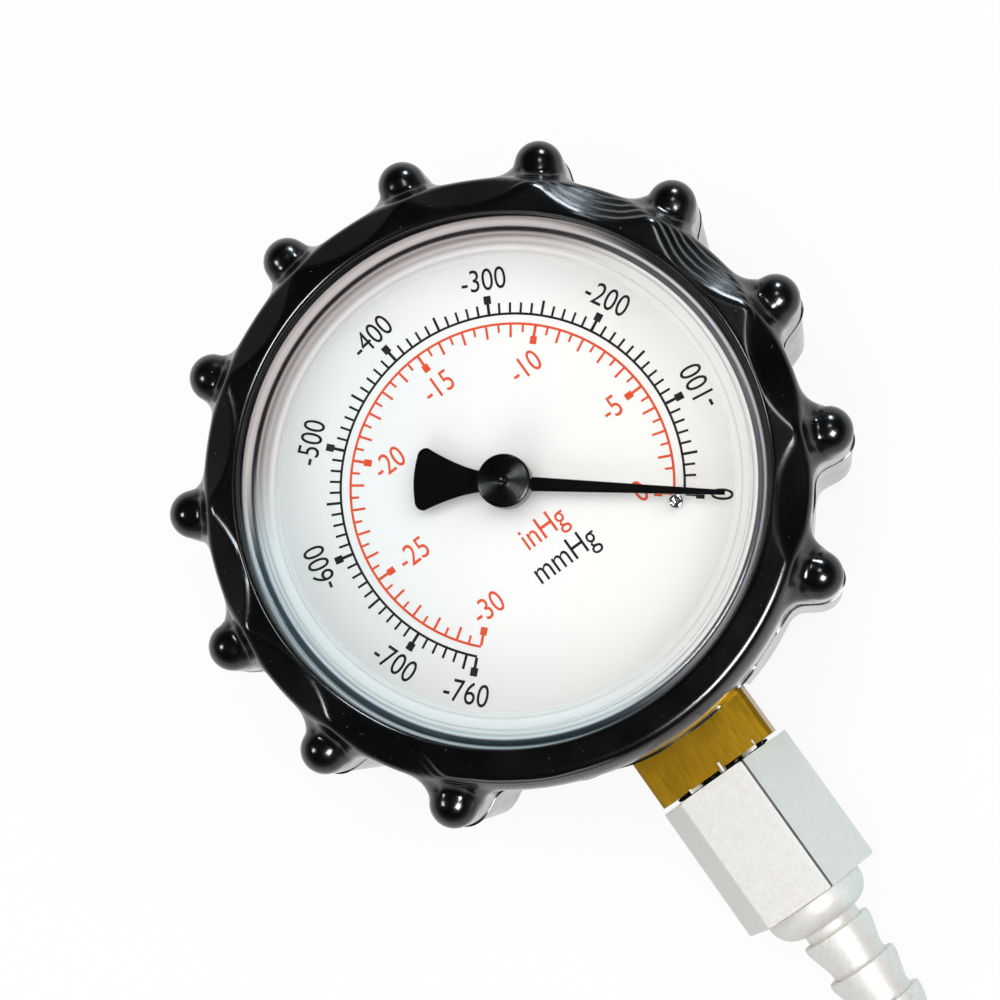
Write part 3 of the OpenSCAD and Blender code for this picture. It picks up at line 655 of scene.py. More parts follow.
@dataclass(frozen=True)
class LensRim:
    """Rim of the lens: painted reflections and painted shade, as rings of light and dark that change from
    side to side, over a clear body.

    The distance from a middle that lies a little low picks a tone from one of three ring patterns, and the
    direction picks the pattern: pale rose towards twelve o'clock, steel blue at the left and dark grey at the
    right. The top and left sides are given by a direction, the cosine at the middle of their fade and half
    its width.
    """

    name: str = "lens_rim"
    inner: float = 23.0
    outer: float = 28.0
    middle: tuple[float, float] = (0.1, -0.5)
    top_side: Triple = (92.0, 0.5, 0.22)
    left_side: Triple = (200.0, 0.3, 0.3)
    cover: tuple[tuple[float, float], ...] = ((23.2, 0.0), (23.7, 0.5), (25.5, 0.7), (25.8, 0.95))

    def painted_rings(self) -> tuple[list[tuple[float, Colour]], ...]:
        """Radii and tones of the three patterns of painted reflection and shade.

        Returns:
            Pattern towards twelve o'clock, at the left and at the right.
        """
        top = [(23.2, (0.8, 0.78, 0.76)), (23.7, (0.5, 0.48, 0.46)), (24.05, (0.92, 0.88, 0.86)),
               (24.6, (0.3, 0.27, 0.26)), (24.95, (0.58, 0.52, 0.51)), (25.4, (0.17, 0.14, 0.14)),
               (25.68, (0.42, 0.37, 0.36)), (25.95, (0.004, 0.003, 0.003)), (26.25, (0.004, 0.003, 0.003)),
               (26.45, (0.5, 0.45, 0.45)), (26.8, (0.58, 0.53, 0.52)), (27.15, (0.5, 0.44, 0.43)),
               (27.5, (0.78, 0.71, 0.7)), (27.65, (0.01, 0.01, 0.01))]
        left = [(23.2, (0.74, 0.84, 0.85)), (23.75, (0.7, 0.8, 0.81)), (23.95, (0.52, 0.61, 0.62)),
                (24.2, (0.8, 0.9, 0.91)), (25.0, (0.68, 0.78, 0.79)), (25.2, (0.44, 0.53, 0.55)),
                (25.4, (0.72, 0.82, 0.83)), (25.7, (0.34, 0.42, 0.44)), (25.95, (0.6, 0.7, 0.72)),
                (26.2, (0.03, 0.045, 0.06)), (26.75, (0.02, 0.04, 0.055)), (26.95, (0.5, 0.66, 0.7)),
                (27.25, (0.8, 0.9, 0.93)), (27.55, (0.3, 0.36, 0.4)), (27.7, (0.02, 0.03, 0.035))]
        right = [(23.2, (0.84, 0.83, 0.8)), (24.05, (0.82, 0.81, 0.78)), (24.2, (0.56, 0.55, 0.53)),
                 (24.38, (0.82, 0.81, 0.78)), (25.15, (0.8, 0.79, 0.77)), (25.3, (0.42, 0.41, 0.4)),
                 (25.45, (0.78, 0.77, 0.76)), (25.68, (0.88, 0.87, 0.86)), (25.82, (0.06, 0.05, 0.055)),
                 (26.05, (0.085, 0.075, 0.085)), (26.28, (0.035, 0.032, 0.04)), (26.42, (0.5, 0.5, 0.52)),
                 (26.55, (0.62, 0.62, 0.64)), (26.75, (0.03, 0.03, 0.032))]
        return top, left, right

    def material(self) -> bpy.types.Material:
        """Builds the material."""
        s = Shader(self.name)
        s.set(Specular_IOR_Level=0.3)
        across = s.remap(s.distance((*self.middle, 0), IN_PLAN), (self.inner, self.outer))
        # The base colour is painted light: rings of reflection and shade that change with the side.
        top, left, right = (self.pattern(s, across, stops) for stops in self.painted_rings())
        lower = s.blend(s.towards(*self.left_side), right, left)
        s.link(s.blend(s.towards(*self.top_side), lower, top), s.main.inputs["Base Color"])
        cover = [(radius, (share, share, share)) for radius, share in self.cover]
        s.link(self.pattern(s, across, cover), s.main.inputs["Alpha"])
        s.link(s.spread(s.noise(400, 3), 0.14, 0.24), s.main.inputs["Roughness"])
        return s.material

    def pattern(self, s: Shader, across: bpy.types.NodeSocket,
                stops: list[tuple[float, Colour]]) -> bpy.types.NodeSocket:
        """Ramp over the rim whose stops are given as radii.

        Args:
            s: shader to add to.
            across: share of the way from the inner to the outer radius.
            stops: radii and tones.

        Returns:
            The colour socket.
        """
        span = self.outer - self.inner
        return s.ramp(across, [((radius - self.inner) / span, tone) for radius, tone in stops])


@dataclass(frozen=True)
class Enamel:
    """White ground of the dial with painted light: darker and cooler towards one side and warmer towards the
    other, over a smooth lacquer.
    """

    name: str = "dial_white"
    # Painted shade: the cool tone, darker than the plain white, lies on one side.
    cool: Colour = (0.74, 0.81, 0.82)
    plain: Colour = (0.92, 0.915, 0.9)
    warm_light: Colour = (0.92, 0.88, 0.82)
    light_drift_turn: float = 35.0

    def material(self) -> bpy.types.Material:
        """Builds the material."""
        s = Shader(self.name)
        # Painted light: the tones drift across the dial along a turned x.
        light_drift = s.along("X", (16, 16, 16), (0, 0, math.radians(self.light_drift_turn)))
        tones = [(0.0, self.cool), (0.5, self.plain), (1.0, self.warm_light)]
        s.link(s.ramp(s.remap(light_drift, (-0.5, 0.5)), tones), s.main.inputs["Base Color"])
        s.link(s.spread(s.noise(500, 3), 0.42, 0.5), s.main.inputs["Roughness"])
        s.bump(s.noise(3000, 2), 0.08, 0.01)
        return s.material


@dataclass(frozen=True)
class Ink:
    """Printed ink, uneven in density as a silk-screen print is."""

    name: str
    colour: Colour
    thin: Colour

    def material(self) -> bpy.types.Material:
        """Builds the material."""
        s = Shader(self.name)
        s.set(Specular_IOR_Level=0.05)
        s.link(s.ramp(s.noise(700, 3), [(0.3, self.colour), (0.75, self.thin)]), s.main.inputs["Base Color"])
        s.link(s.spread(s.noise(900, 2), 0.45, 0.6), s.main.inputs["Roughness"])
        return s.material


@dataclass(frozen=True)
class Tape:
    """Sealing tape: white where it stands out of the joint, with painted shade that darkens it down in the
    joint.
    """

    name: str = "tape_white"
    joint_shade: Colour = (0.012, 0.011, 0.01)
    white: Colour = (0.86, 0.86, 0.83)
    shade_r: float = 5.75
    lit_r: float = 6.1

    def material(self) -> bpy.types.Material:
        """Builds the material; the distance from the stem's axis picks the tone, painted shade near the axis
        and white further out.
        """
        s = Shader(self.name)
        # Painted shade: the tape is painted dark down in the joint.
        lit_share = s.remap(s.distance((0, 0, STEM_Z), ROUND_STEM), (self.shade_r, self.lit_r))
        s.link(s.ramp(lit_share, [(0.0, self.joint_shade), (1.0, self.white)]), s.main.inputs["Base Color"])
        s.link(s.spread(s.noise(900, 3), 0.5, 0.7), s.main.inputs["Roughness"])
        s.bump(s.noise(1800, 3), 0.3, 0.05)
        return s.material


@dataclass(frozen=True)
class Metal:
    """Worked metal: brush lines along one way, over soft stains, or over a painted reflection that gives the
    right side a second tone.
    """

    name: str
    colour: Colour
    stain_and_lit_side: Colour
    rough: float
    along: Triple = (1, 1, 1)
    lines: float = 0.25
    metallic: float = 1.0
    line_scale: float = 900.0
    contrast: float = 0.28
    wander: float = 1.0
    lit_side_x: tuple[float, float] | None = None

    def material(self) -> bpy.types.Material:
        """Builds the material."""
        s = Shader(self.name)
        s.set(Metallic=self.metallic, Specular_IOR_Level=0.2)
        # With a range of x, the second colour is a painted reflection that tints the right side; without one,
        # it is soft stains in a noise.
        if self.lit_side_x:
            cloud = s.ramp(s.remap(s.along("X"), self.lit_side_x), [(0.0, self.colour), (1.0, self.stain_and_lit_side)])
        else:
            cloud = s.ramp(s.noise(140, 4), [(0.35, self.stain_and_lit_side), (0.6, self.colour)])
        darker = tuple(c * (1 - self.contrast) for c in self.colour)
        brush = s.noise(self.line_scale, 4, 0.65, self.along)
        streak = s.ramp(brush, [(0.3, darker), (0.62, self.colour)])
        s.link(s.blend(0.5, cloud, streak), s.main.inputs["Base Color"])
        least, most = 1 - 0.25 * self.wander, 1 + 0.3 * self.wander
        s.link(s.spread(brush, self.rough * least, self.rough * most), s.main.inputs["Roughness"])
        s.bump(brush, self.lines, 0.03)
        return s.material


class Palette:
    """All materials of the gauge, made once."""

    def __init__(self) -> None:
        """Builds every finish."""
        self.rubber = Rubber().material()
        self.case = Plastic("case_plastic", (0.02, 0.02, 0.022), 0.42).material()
        self.pointer = Plastic("pointer_black", (0.0016, 0.0016, 0.002), 0.2, 2600, 0.25, 0.2).material()
        self.tape = Tape().material()
        self.window = ClearLens("lens_window", (0.95, 0.96, 0.97), 0.006, 0.03).material()
        self.rim = LensRim().material()
        self.dial = Enamel().material()
        self.black = Ink("ink_black", (0.012, 0.012, 0.012), (0.03, 0.03, 0.03)).material()
        self.red = Ink("ink_red", (0.75, 0.075, 0.025), (0.8, 0.12, 0.05)).material()
        self.brass = Metal("brass_stem", (0.37, 0.205, 0.008), (0.25, 0.135, 0.005), 0.32,
                           (1, 0.08, 1), 0.04, 0.8, 6500, contrast=0.35, wander=0.4).material()
        # The zinc's right side is a painted reflection: lighter and cooler from x = 2 to 3.2 mm.
        self.zinc = Metal("zinc_plate", (0.75, 0.722, 0.685), (0.84, 0.98, 0.96), 0.5,
                          (1, 0.6, 1), 0.3, 0.2, 3200, contrast=0.2, lit_side_x=(2.0, 3.2)).material()
        self.worn = Metal("zinc_worn", (0.12, 0.12, 0.12), (0.05, 0.05, 0.055), 0.4, metallic=0.8).material()
        self.works = Metal("movement_brass", (0.82, 0.64, 0.32), (0.7, 0.5, 0.22), 0.32,
                           (1, 0.08, 1)).material()
        self.bronze = Metal("tube_bronze", (0.74, 0.46, 0.26), (0.6, 0.34, 0.18), 0.34).material()
        self.chrome = Metal("pin_bright", (0.8, 0.8, 0.81), (0.7, 0.7, 0.72), 0.12, lines=0.1).material()
        self.steel = Metal("bright_steel", (0.68, 0.68, 0.7), (0.55, 0.55, 0.57), 0.28,
                           (1, 0.2, 1)).material()


# The boot


@dataclass
class Boot:
    """Rubber boot: scooped front ring, wall with ball-ended grip lugs, back lip and a slot for the stem."""

    wall_r: float = 31.6
    pocket_r: float = 30.05
    ring_r: float = 31.0
    ring_edge: float = 1.2
    opening_r: float = 27.4
    back_r: float = 25.0
    rim_z: float = 31.2
    ring_z: float = 32.98
    lip_z: float = 2.2
    lug_at: float = 33.4
    lug_r: float = 2.6
    ball_z: float = 28.2
    shoulder_z: float = 31.7
    parting_z: float = 21.0
    fin_w: float = 0.25
    fin_t: float = 0.3
    heel_r: float = 1.5
    fillet: float = 3.4
    neck_half: float = 1.05
    neck_drop: float = 0.5
    neck_dip: float = 1.3
    scoop_at: float = 27.9
    scoop_r: float = 24.0
    scoop_slope: float = 28.0
    lug_count: int = 12
    lug_pitch: float = 25.3
    lug_turn: float = -3.5
    slot_half: float = 7.5
    slot_z: float = 19.5
    slot_span: float = 13.6
    slot_reach: float = 26.0
    lip_round: float = 0.45
    cone_round: float = 0.6
    shoulder_round: float = 0.4
    neck_round: float = 0.5
    front_round: float = 0.7
    scoop_round: float = 0.3
    post_growth: float = 0.4
    post_round: tuple[float, float] = (0.01, 0.6)
    ray_r: float = 29.0
    ray_z: float = 24.0
    ray_l: float = 14.0
    halvings: int = 26
    swell: float = 0.04
    columns: int = 960

    def depth(self, r: np.ndarray, angle: np.ndarray, z: np.ndarray) -> np.ndarray:
        """Signed distance from the boot's outside, below zero within it.

        The wall is the plan of a circle and its lugs, joined by a rounded minimum that gives the fillets,
        under a cone and a flat shoulder. The ring is a rounded disc, each lug an upright post with a ball on
        top and each neck a sloping bar. A rounded maximum takes out the scoops: slanting cylinders over the
        gaps between lugs.

        Args:
            r: distance from the dial's axis.
            angle: direction in degrees.
            z: height.

        Returns:
            The distance at each point.
        """
        turn = np.mod(angle - 90 - self.lug_turn + 180, 360) - 180 + (self.lug_count - 1) / 2 * self.lug_pitch
        lug = np.clip(np.round(turn / self.lug_pitch), 0, self.lug_count - 1)
        gap = np.clip(np.floor(turn / self.lug_pitch), 0, self.lug_count - 2) + 0.5
        off, mid = (np.radians(turn - n * self.lug_pitch) for n in (lug, gap))
        out, across = r * np.cos(off), r * np.sin(off)
        rise = np.clip(z - self.ball_z, 0, None)
        foot = np.clip(self.heel_r - z, 0, self.heel_r)
        drawn = self.heel_r - np.sqrt(self.heel_r**2 - foot**2)
        post = np.sqrt((out - self.lug_at) ** 2 + across**2 + rise**2) - self.lug_r + drawn
        fall = np.array([self.lug_at - self.ring_r, self.shoulder_z - self.ball_z])
        fall = fall / np.linalg.norm(fall)
        cone = (r - self.ring_r) * fall[1] + (z - self.shoulder_z) * fall[0]
        stub = np.hypot(out - self.lug_at, across) - self.lug_r + drawn
        plan = smooth_min(stub, r - self.wall_r, self.fillet)
        wall = smooth_min(-plan, -cone, self.cone_round)
        wall = -smooth_min(wall, self.shoulder_z - z, self.shoulder_round)
        flat, top = r - self.ring_r + self.ring_edge, z - self.ring_z + self.ring_edge
        ring = (np.minimum(np.maximum(flat, top), 0) + np.hypot(np.maximum(flat, 0), np.maximum(top, 0))
                - self.ring_edge)
        start = np.array([self.ring_r - self.ring_edge, self.ring_z - self.neck_drop])
        run = np.array([self.lug_at, self.ball_z + self.lug_r - self.neck_dip]) - start
        run = run / np.linalg.norm(run)
        slope = (z - start[1]) * run[0] - (out - start[0]) * run[1]
        neck = -smooth_min(self.neck_half - np.abs(across), -slope, self.neck_round)
        neck = np.maximum(neck, np.maximum(out - self.lug_at, z - self.ring_z + self.neck_drop))
        width = np.clip(self.post_growth * (z - self.ball_z), *self.post_round)
        front = smooth_min(ring, neck, self.neck_round)
        body = smooth_min(smooth_min(post, wall, width), front, self.front_round)
        tilt = math.radians(self.scoop_slope)
        lift = (r * np.cos(mid) - self.scoop_at) * math.sin(tilt) + (z - self.ring_z) * math.cos(tilt)
        scoop = self.scoop_r - np.hypot(lift - self.scoop_r, r * np.sin(mid))
        return -smooth_min(-body, -scoop, self.scoop_round)

    def rows(self) -> tuple[np.ndarray, np.ndarray, int, int]:
        """Rows of the skin, from the opening over the front and down the outside to the pocket.

        Returns:
            Radius, height and tilt in degrees of each row's rays, a flag where the skin is found along them,
            and the rows of the slot's two upper edges.
        """
        lip = arc((self.opening_r + self.lip_round, self.ring_z - self.lip_round), self.lip_round, 180, 90, 5)
        lip = np.column_stack([lip, np.zeros(len(lip))])
        tilts = np.concatenate([np.linspace(96.4, 74, 34), np.linspace(73, 0, 32)])
        front = np.column_stack([np.full_like(tilts, self.ray_r), np.full_like(tilts, self.ray_z), tilts])
        fin = self.parting_z + np.array([self.fin_t + 0.03, self.fin_t, 0.0, -0.03])
        heights = (22.5, *fin, self.slot_z, 15, 10, 5, 2.2, 1.5, 1.0, 0.6, 0.25, 0.05, 0)
        side = np.array([[self.ray_r, z, 0.0] for z in heights])
        pocket = [[self.pocket_r, z, 0] for z in (self.lip_z, 10, self.slot_z, 25, self.rim_z)]
        under = np.array([[30.5, 0, 0], [28, 0, 0], [self.back_r, 0, 0], [self.back_r, self.lip_z, 0],
                          *pocket, [self.opening_r, self.rim_z, 0]])
        rows = np.vstack([lip, front, side, under])
        found = np.arange(len(rows))
        found = (found >= len(lip)) & (found < len(lip) + len(front) + len(side))
        slot_rows = np.flatnonzero(np.isclose(rows[:, 1], self.slot_z))
        return rows, found, int(slot_rows[0]), int(slot_rows[1])

    def directions(self, rows: np.ndarray, found: np.ndarray, half: int) -> np.ndarray:
        """Direction of each point.

        The columns are evenly spread, but beside the slot they are shifted so that two of them lie on its
        sides: each side's direction is the arc sine of half the slot's width over the radius.

        Args:
            rows: rows of the skin.
            found: flag where the skin is found along the rays.
            half: number of columns from the slot's middle to its side.

        Returns:
            Directions in degrees, shaped (rows, columns).
        """
        base = np.linspace(-90, 270, self.columns, endpoint=False)
        off = np.mod(base + 90 + 180, 360) - 180
        sides = np.where(found, self.wall_r, rows[:, 0])
        sides = np.degrees(np.arcsin(self.slot_half / sides))[:, None]
        near, flank, reach = np.abs(off)[None, :], half * 360 / self.columns, self.slot_reach
        bent = np.where(near <= flank, near * sides / flank,
                        sides + (near - flank) * (reach - sides) / (reach - flank))
        return np.where(near < reach, -90 + np.sign(off)[None, :] * bent, base[None, :])

    def skin(self, rows: np.ndarray, angle: np.ndarray) -> np.ndarray:
        """Length of each ray to where the signed distance is zero, found by halving its range.

        Args:
            rows: rows of the skin.
            angle: direction of each point in degrees.

        Returns:
            Lengths, shaped (rows, columns).
        """
        ray = np.radians(rows[:, 2:])
        low, high = np.zeros_like(angle), np.full_like(angle, self.ray_l)
        for _ in range(self.halvings):
            middle = (low + high) / 2
            r, z = rows[:, :1] + middle * np.cos(ray), rows[:, 1:2] + middle * np.sin(ray)
            within = self.depth(r, angle, z) < 0
            low, high = np.where(within, middle, low), np.where(within, high, middle)
        return low

    def surface(self) -> Surface:
        """Skin of the boot on a grid of rows and directions.

        Each front and side point lies on a ray in its own half plane, drawn in by a slow swell. Two rows at
        the mould's parting line stand out as a ragged fin. The cells over the slot are left out, and flat
        faces close it.

        Returns:
            The closed skin.
        """
        rows, found, outer_row, inner_row = self.rows()
        half = round(self.slot_span * self.columns / 360)
        angle = self.directions(rows, found, half)
        ray, turn = np.radians(rows[:, 2:]), np.radians(angle)
        swell = self.swell + ripple(turn, np.repeat(rows[:, 1:2], self.columns, 1), 5, self.swell)
        ragged = 0.6 + 2.2 * ripple(turn, 0 * turn, 8, 1.0)
        on_fin = (rows[:, 1:2] >= self.parting_z) & (rows[:, 1:2] <= self.parting_z + self.fin_t)
        grown = np.where(on_fin & (rows[:, 2:] == 0), self.fin_w * np.clip(ragged, 0.1, 1.0), 0)
        length = np.where(found[:, None], self.skin(rows, angle) + (grown - swell) * np.cos(ray), 0)
        radius = rows[:, :1] + length * np.cos(ray)
        height = rows[:, 1:2] + length * np.sin(ray)
        points = np.stack([radius * np.cos(turn), radius * np.sin(turn), height], -1)
        quads = grid_faces(len(rows), self.columns, True, True)
        keep = np.ones(quads.shape[:2], bool)
        c = np.r_[self.columns - half:self.columns, 0:half + 1]
        keep[outer_row:inner_row, c[:-1]] = False
        faces = quads[keep].tolist()
        index = np.arange(points.shape[0] * self.columns).reshape(-1, self.columns)
        for column in (self.columns - half, half):
            faces.append(index[outer_row:inner_row + 1, column].tolist())
        faces += np.stack([index[outer_row, c[:-1]], index[outer_row, c[1:]], index[inner_row, c[1:]],
                           index[inner_row, c[:-1]]], -1).tolist()
        return Surface(points.reshape(-1, 3), faces)

    def build(self, palette: Palette) -> None:
        """Makes the boot's skin in place of its solid."""
        skin = make_piece("boot_skin", self.surface(), Body.HOUSING, [palette.rubber], 50)
        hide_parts("rubber_boot")


# The lens, the dial and its print


@dataclass
class Lens:
    """Clear window with a rounded rim."""

    flange_r: float = 28.6
    face_r: float = 27.1
    skirt_r: float = 26.6
    edge_r: float = 0.7
    under_z: float = 30.6
    flange_z: float = 31.2
    top_z: float = 32.2
    window_r: float = 22.6
    groove: tuple[tuple[float, float], ...] = ((25.4, 0.0), (25.45, 0.15), (25.75, 0.15), (25.8, 0.0))
    steps: int = 300

    def surface(self) -> Surface:
        """Revolved lens with a shallow groove, given as radii and depths, inside its rounded edge.

        Returns:
            The closed lens, with finish 0 on the window and 1 on the rim.
        """
        window = np.stack([np.linspace(0, self.window_r, 8), np.full(8, self.top_z)], -1)
        groove = np.array([[r, self.top_z - deep] for r, deep in self.groove])
        edge = arc((self.face_r - self.edge_r, self.top_z - self.edge_r), self.edge_r, 90, 0, 10)
        outer = np.array([[self.face_r, self.flange_z], [self.flange_r, self.flange_z],
                          [self.flange_r, FACE_Z], [self.skirt_r, FACE_Z],
                          [self.skirt_r, self.under_z], [0, self.under_z]])
        profile = np.vstack([window, groove, edge, outer])
        surface = revolved(profile, self.steps)
        kinds = np.zeros(len(profile) - 1, int)
        kinds[len(window) - 1:-1] = 1
        surface.finish = np.repeat(kinds, self.steps).tolist()
        return surface

    def build(self, palette: Palette) -> None:
        """Makes the lens in place of its solid."""
        finishes = [palette.window, palette.rim]
        piece = make_piece("lens_clear", self.surface(), Body.HOUSING, finishes, 30)
        piece.visible_shadow = False
        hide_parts("lens")


@dataclass
class Print:
    """Two scales, their numbers and their units, printed on the dial."""

    height: float = FACE_Z + 0.02
    zero: float = -39.1
    start: float = -43.55
    degrees: float = 267.1
    full: float = 760.0
    black_r: float = 18.3
    red_r: float = 17.22
    line: float = 0.26
    number_r: float = 22.2
    black_tall: float = 2.4
    red_tall: float = 2.35
    unit_tall: float = 2.5
    squeeze: float = 0.8
    digit_share: float = 0.7

    def angle(self, value: np.ndarray | float) -> np.ndarray:
        """Direction of a vacuum in millimetres of mercury: start + degrees x value / full, in degrees."""
        return self.start + self.degrees * np.asarray(value, float) / self.full

    def band(self, low: float, high: float, first: float, last: float) -> Surface:
        """Flat arc between two radii.

        Args:
            low: inner radius.
            high: outer radius.
            first: first direction in degrees.
            last: last direction in degrees.

        Returns:
            The open strip.
        """
        a = np.radians(np.linspace(first, last, 260))
        level = np.full_like(a, self.height)
        rows = [np.stack([r * np.cos(a), r * np.sin(a), level], -1) for r in (high, low)]
        return grid_surface(np.stack(rows), False, False)

    def marks(self, angles: np.ndarray, low: float, high: float, width: float) -> Surface:
        """Straight radial marks, one quad each.

        Args:
            angles: directions in degrees.
            low: inner radius.
            high: outer radius.
            width: width of a mark.

        Returns:
            The open quads.
        """
        a = np.radians(angles)[:, None]
        r = np.array([low, high, high, low])
        w = np.array([-0.5, -0.5, 0.5, 0.5]) * width
        x, y = r * np.cos(a) - w * np.sin(a), r * np.sin(a) + w * np.cos(a)
        points = np.stack([x, y, np.full_like(x, self.height)], -1).reshape(-1, 3)
        return Surface(points, np.arange(len(points)).reshape(-1, 4).tolist())

    def word(self, text: str, at: tuple[float, float], tall: float, turn: float = 0.0) -> Surface:
        """Word set flat on the dial.

        Args:
            text: the characters.
            at: centre of the word.
            tall: height of a digit.
            turn: turn of its base line in degrees.

        Returns:
            The word's faces.
        """
        curve = bpy.data.curves.new("word", "FONT")
        curve.body, curve.resolution_u = text, 6
        maker = bpy.data.objects.new("word", curve)
        bpy.context.scene.collection.objects.link(maker)
        graph = bpy.context.evaluated_depsgraph_get()
        mesh = bpy.data.meshes.new_from_object(maker.evaluated_get(graph))
        flat = np.empty(len(mesh.vertices) * 3)
        mesh.vertices.foreach_get("co", flat)
        faces = [list(p.vertices) for p in mesh.polygons]
        bpy.data.objects.remove(maker)
        bpy.data.curves.remove(curve)
        bpy.data.meshes.remove(mesh)
        points = flat.reshape(-1, 3)[:, :2]
        low, high = points.min(0), points.max(0)
        points = (points - (low + high) / 2) * (tall / self.digit_share) * np.array([self.squeeze, 1])
        c, s = math.cos(math.radians(turn)), math.sin(math.radians(turn))
        points = points @ np.array([[c, s], [-s, c]]) + np.array(at)
        placed = np.column_stack([points, np.full(len(points), self.height)])
        return Surface(placed, faces)

    def number(self, value: int, radius: float, where: float, tall: float, turn: float = 0.0) -> Surface:
        """Number of a scale, with a minus sign on all but zero.

        Args:
            value: the number.
            radius: distance of its centre from the dial's axis.
            where: direction of its centre in degrees.
            tall: height of a digit.
            turn: turn of its base line in degrees.

        Returns:
            The number's faces.
        """
        place = (radius * math.cos(math.radians(where)), radius * math.sin(math.radians(where)))
        return self.word(f"-{value}" if value else "0", place, tall, turn)

    def black_scale(self) -> Surface:
        """Outer scale: a mark each ten, longer each fifty, with thick ends and numbers each hundred."""
        tens = np.arange(30, 761, 10)
        major = np.array([0, 100, 200, 300, 400, 500, 600, 700, 760])
        at = np.where(major == 0, self.zero, self.angle(major))
        fifty = tens[(tens % 50 == 0) & (tens % 100 != 0)]
        short = tens[(tens % 50 != 0) & (tens != 760)]
        ring = self.black_r
        sheet = self.band(ring - self.line / 2, ring + self.line / 2, self.zero, float(self.angle(760)))
        edge = ring + self.line / 2
        for angles, low, high, width in ((self.angle(short), edge, 19.5, 0.25),
                                         (self.angle(fifty), edge, 19.9, 0.28),
                                         (at, edge, 19.5, 0.32), (at, 19.5, 20.4, 0.78)):
            sheet = sheet.joined(self.marks(angles, low, high, width))
        places = (-38.6, -8.4, 27.0, 62.3, 97.5, 131.8, 167.3, 201.1, 222.5)
        for value, where in zip(major, places):
            turn = where - 90 if 0 <= where <= 180 else where + 90
            sheet = sheet.joined(self.number(value, self.number_r, where, self.black_tall, turn))
        return sheet.joined(self.word("mmHg", (0.46, -9.67), self.unit_tall))

    def red_scale(self) -> Surface:
        """Inner scale in inches: marks inward, longer each whole inch, with thick ends each five."""
        halves = np.arange(1.5, 30.01, 0.5) * INCH
        inches = np.round(halves / INCH, 2)
        major = np.array([0, 5, 10, 15, 20, 25, 30])
        at = np.where(major == 0, self.zero, self.angle(major * INCH))
        whole = (inches % 1 == 0) & (inches % 5 != 0)
        half = inches % 1 != 0
        ring = self.red_r
        sheet = self.band(ring - self.line / 2, ring + self.line / 2, self.zero, float(self.angle(762)))
        edge = ring - self.line / 2
        for angles, low, high, width in ((self.angle(halves[half]), 16.3, edge, 0.24),
                                         (self.angle(halves[whole]), 15.75, edge, 0.26),
                                         (at, 16.0, edge, 0.3), (at, 15.15, 16.0, 0.72)):
            sheet = sheet.joined(self.marks(angles, low, high, width))
        places = ((13.66, -38.7), (13.3, 1.5), (12.73, 47.7), (13.26, 90.7), (13.34, 133.1), (12.57, 178.7),
                  (13.0, 224.1))
        for value, (radius, where) in zip(major, places):
            sheet = sheet.joined(self.number(value, radius, where, self.red_tall))
        return sheet.joined(self.word("inHg", (0.23, -6.0), self.unit_tall))

    def build(self, palette: Palette) -> None:
        """Makes both prints."""
        for name, sheet, ink in (("print_black", self.black_scale(), palette.black),
                                 ("print_red", self.red_scale(), palette.red)):
            make_piece(name, sheet, Body.HOUSING, [ink], closed=False)


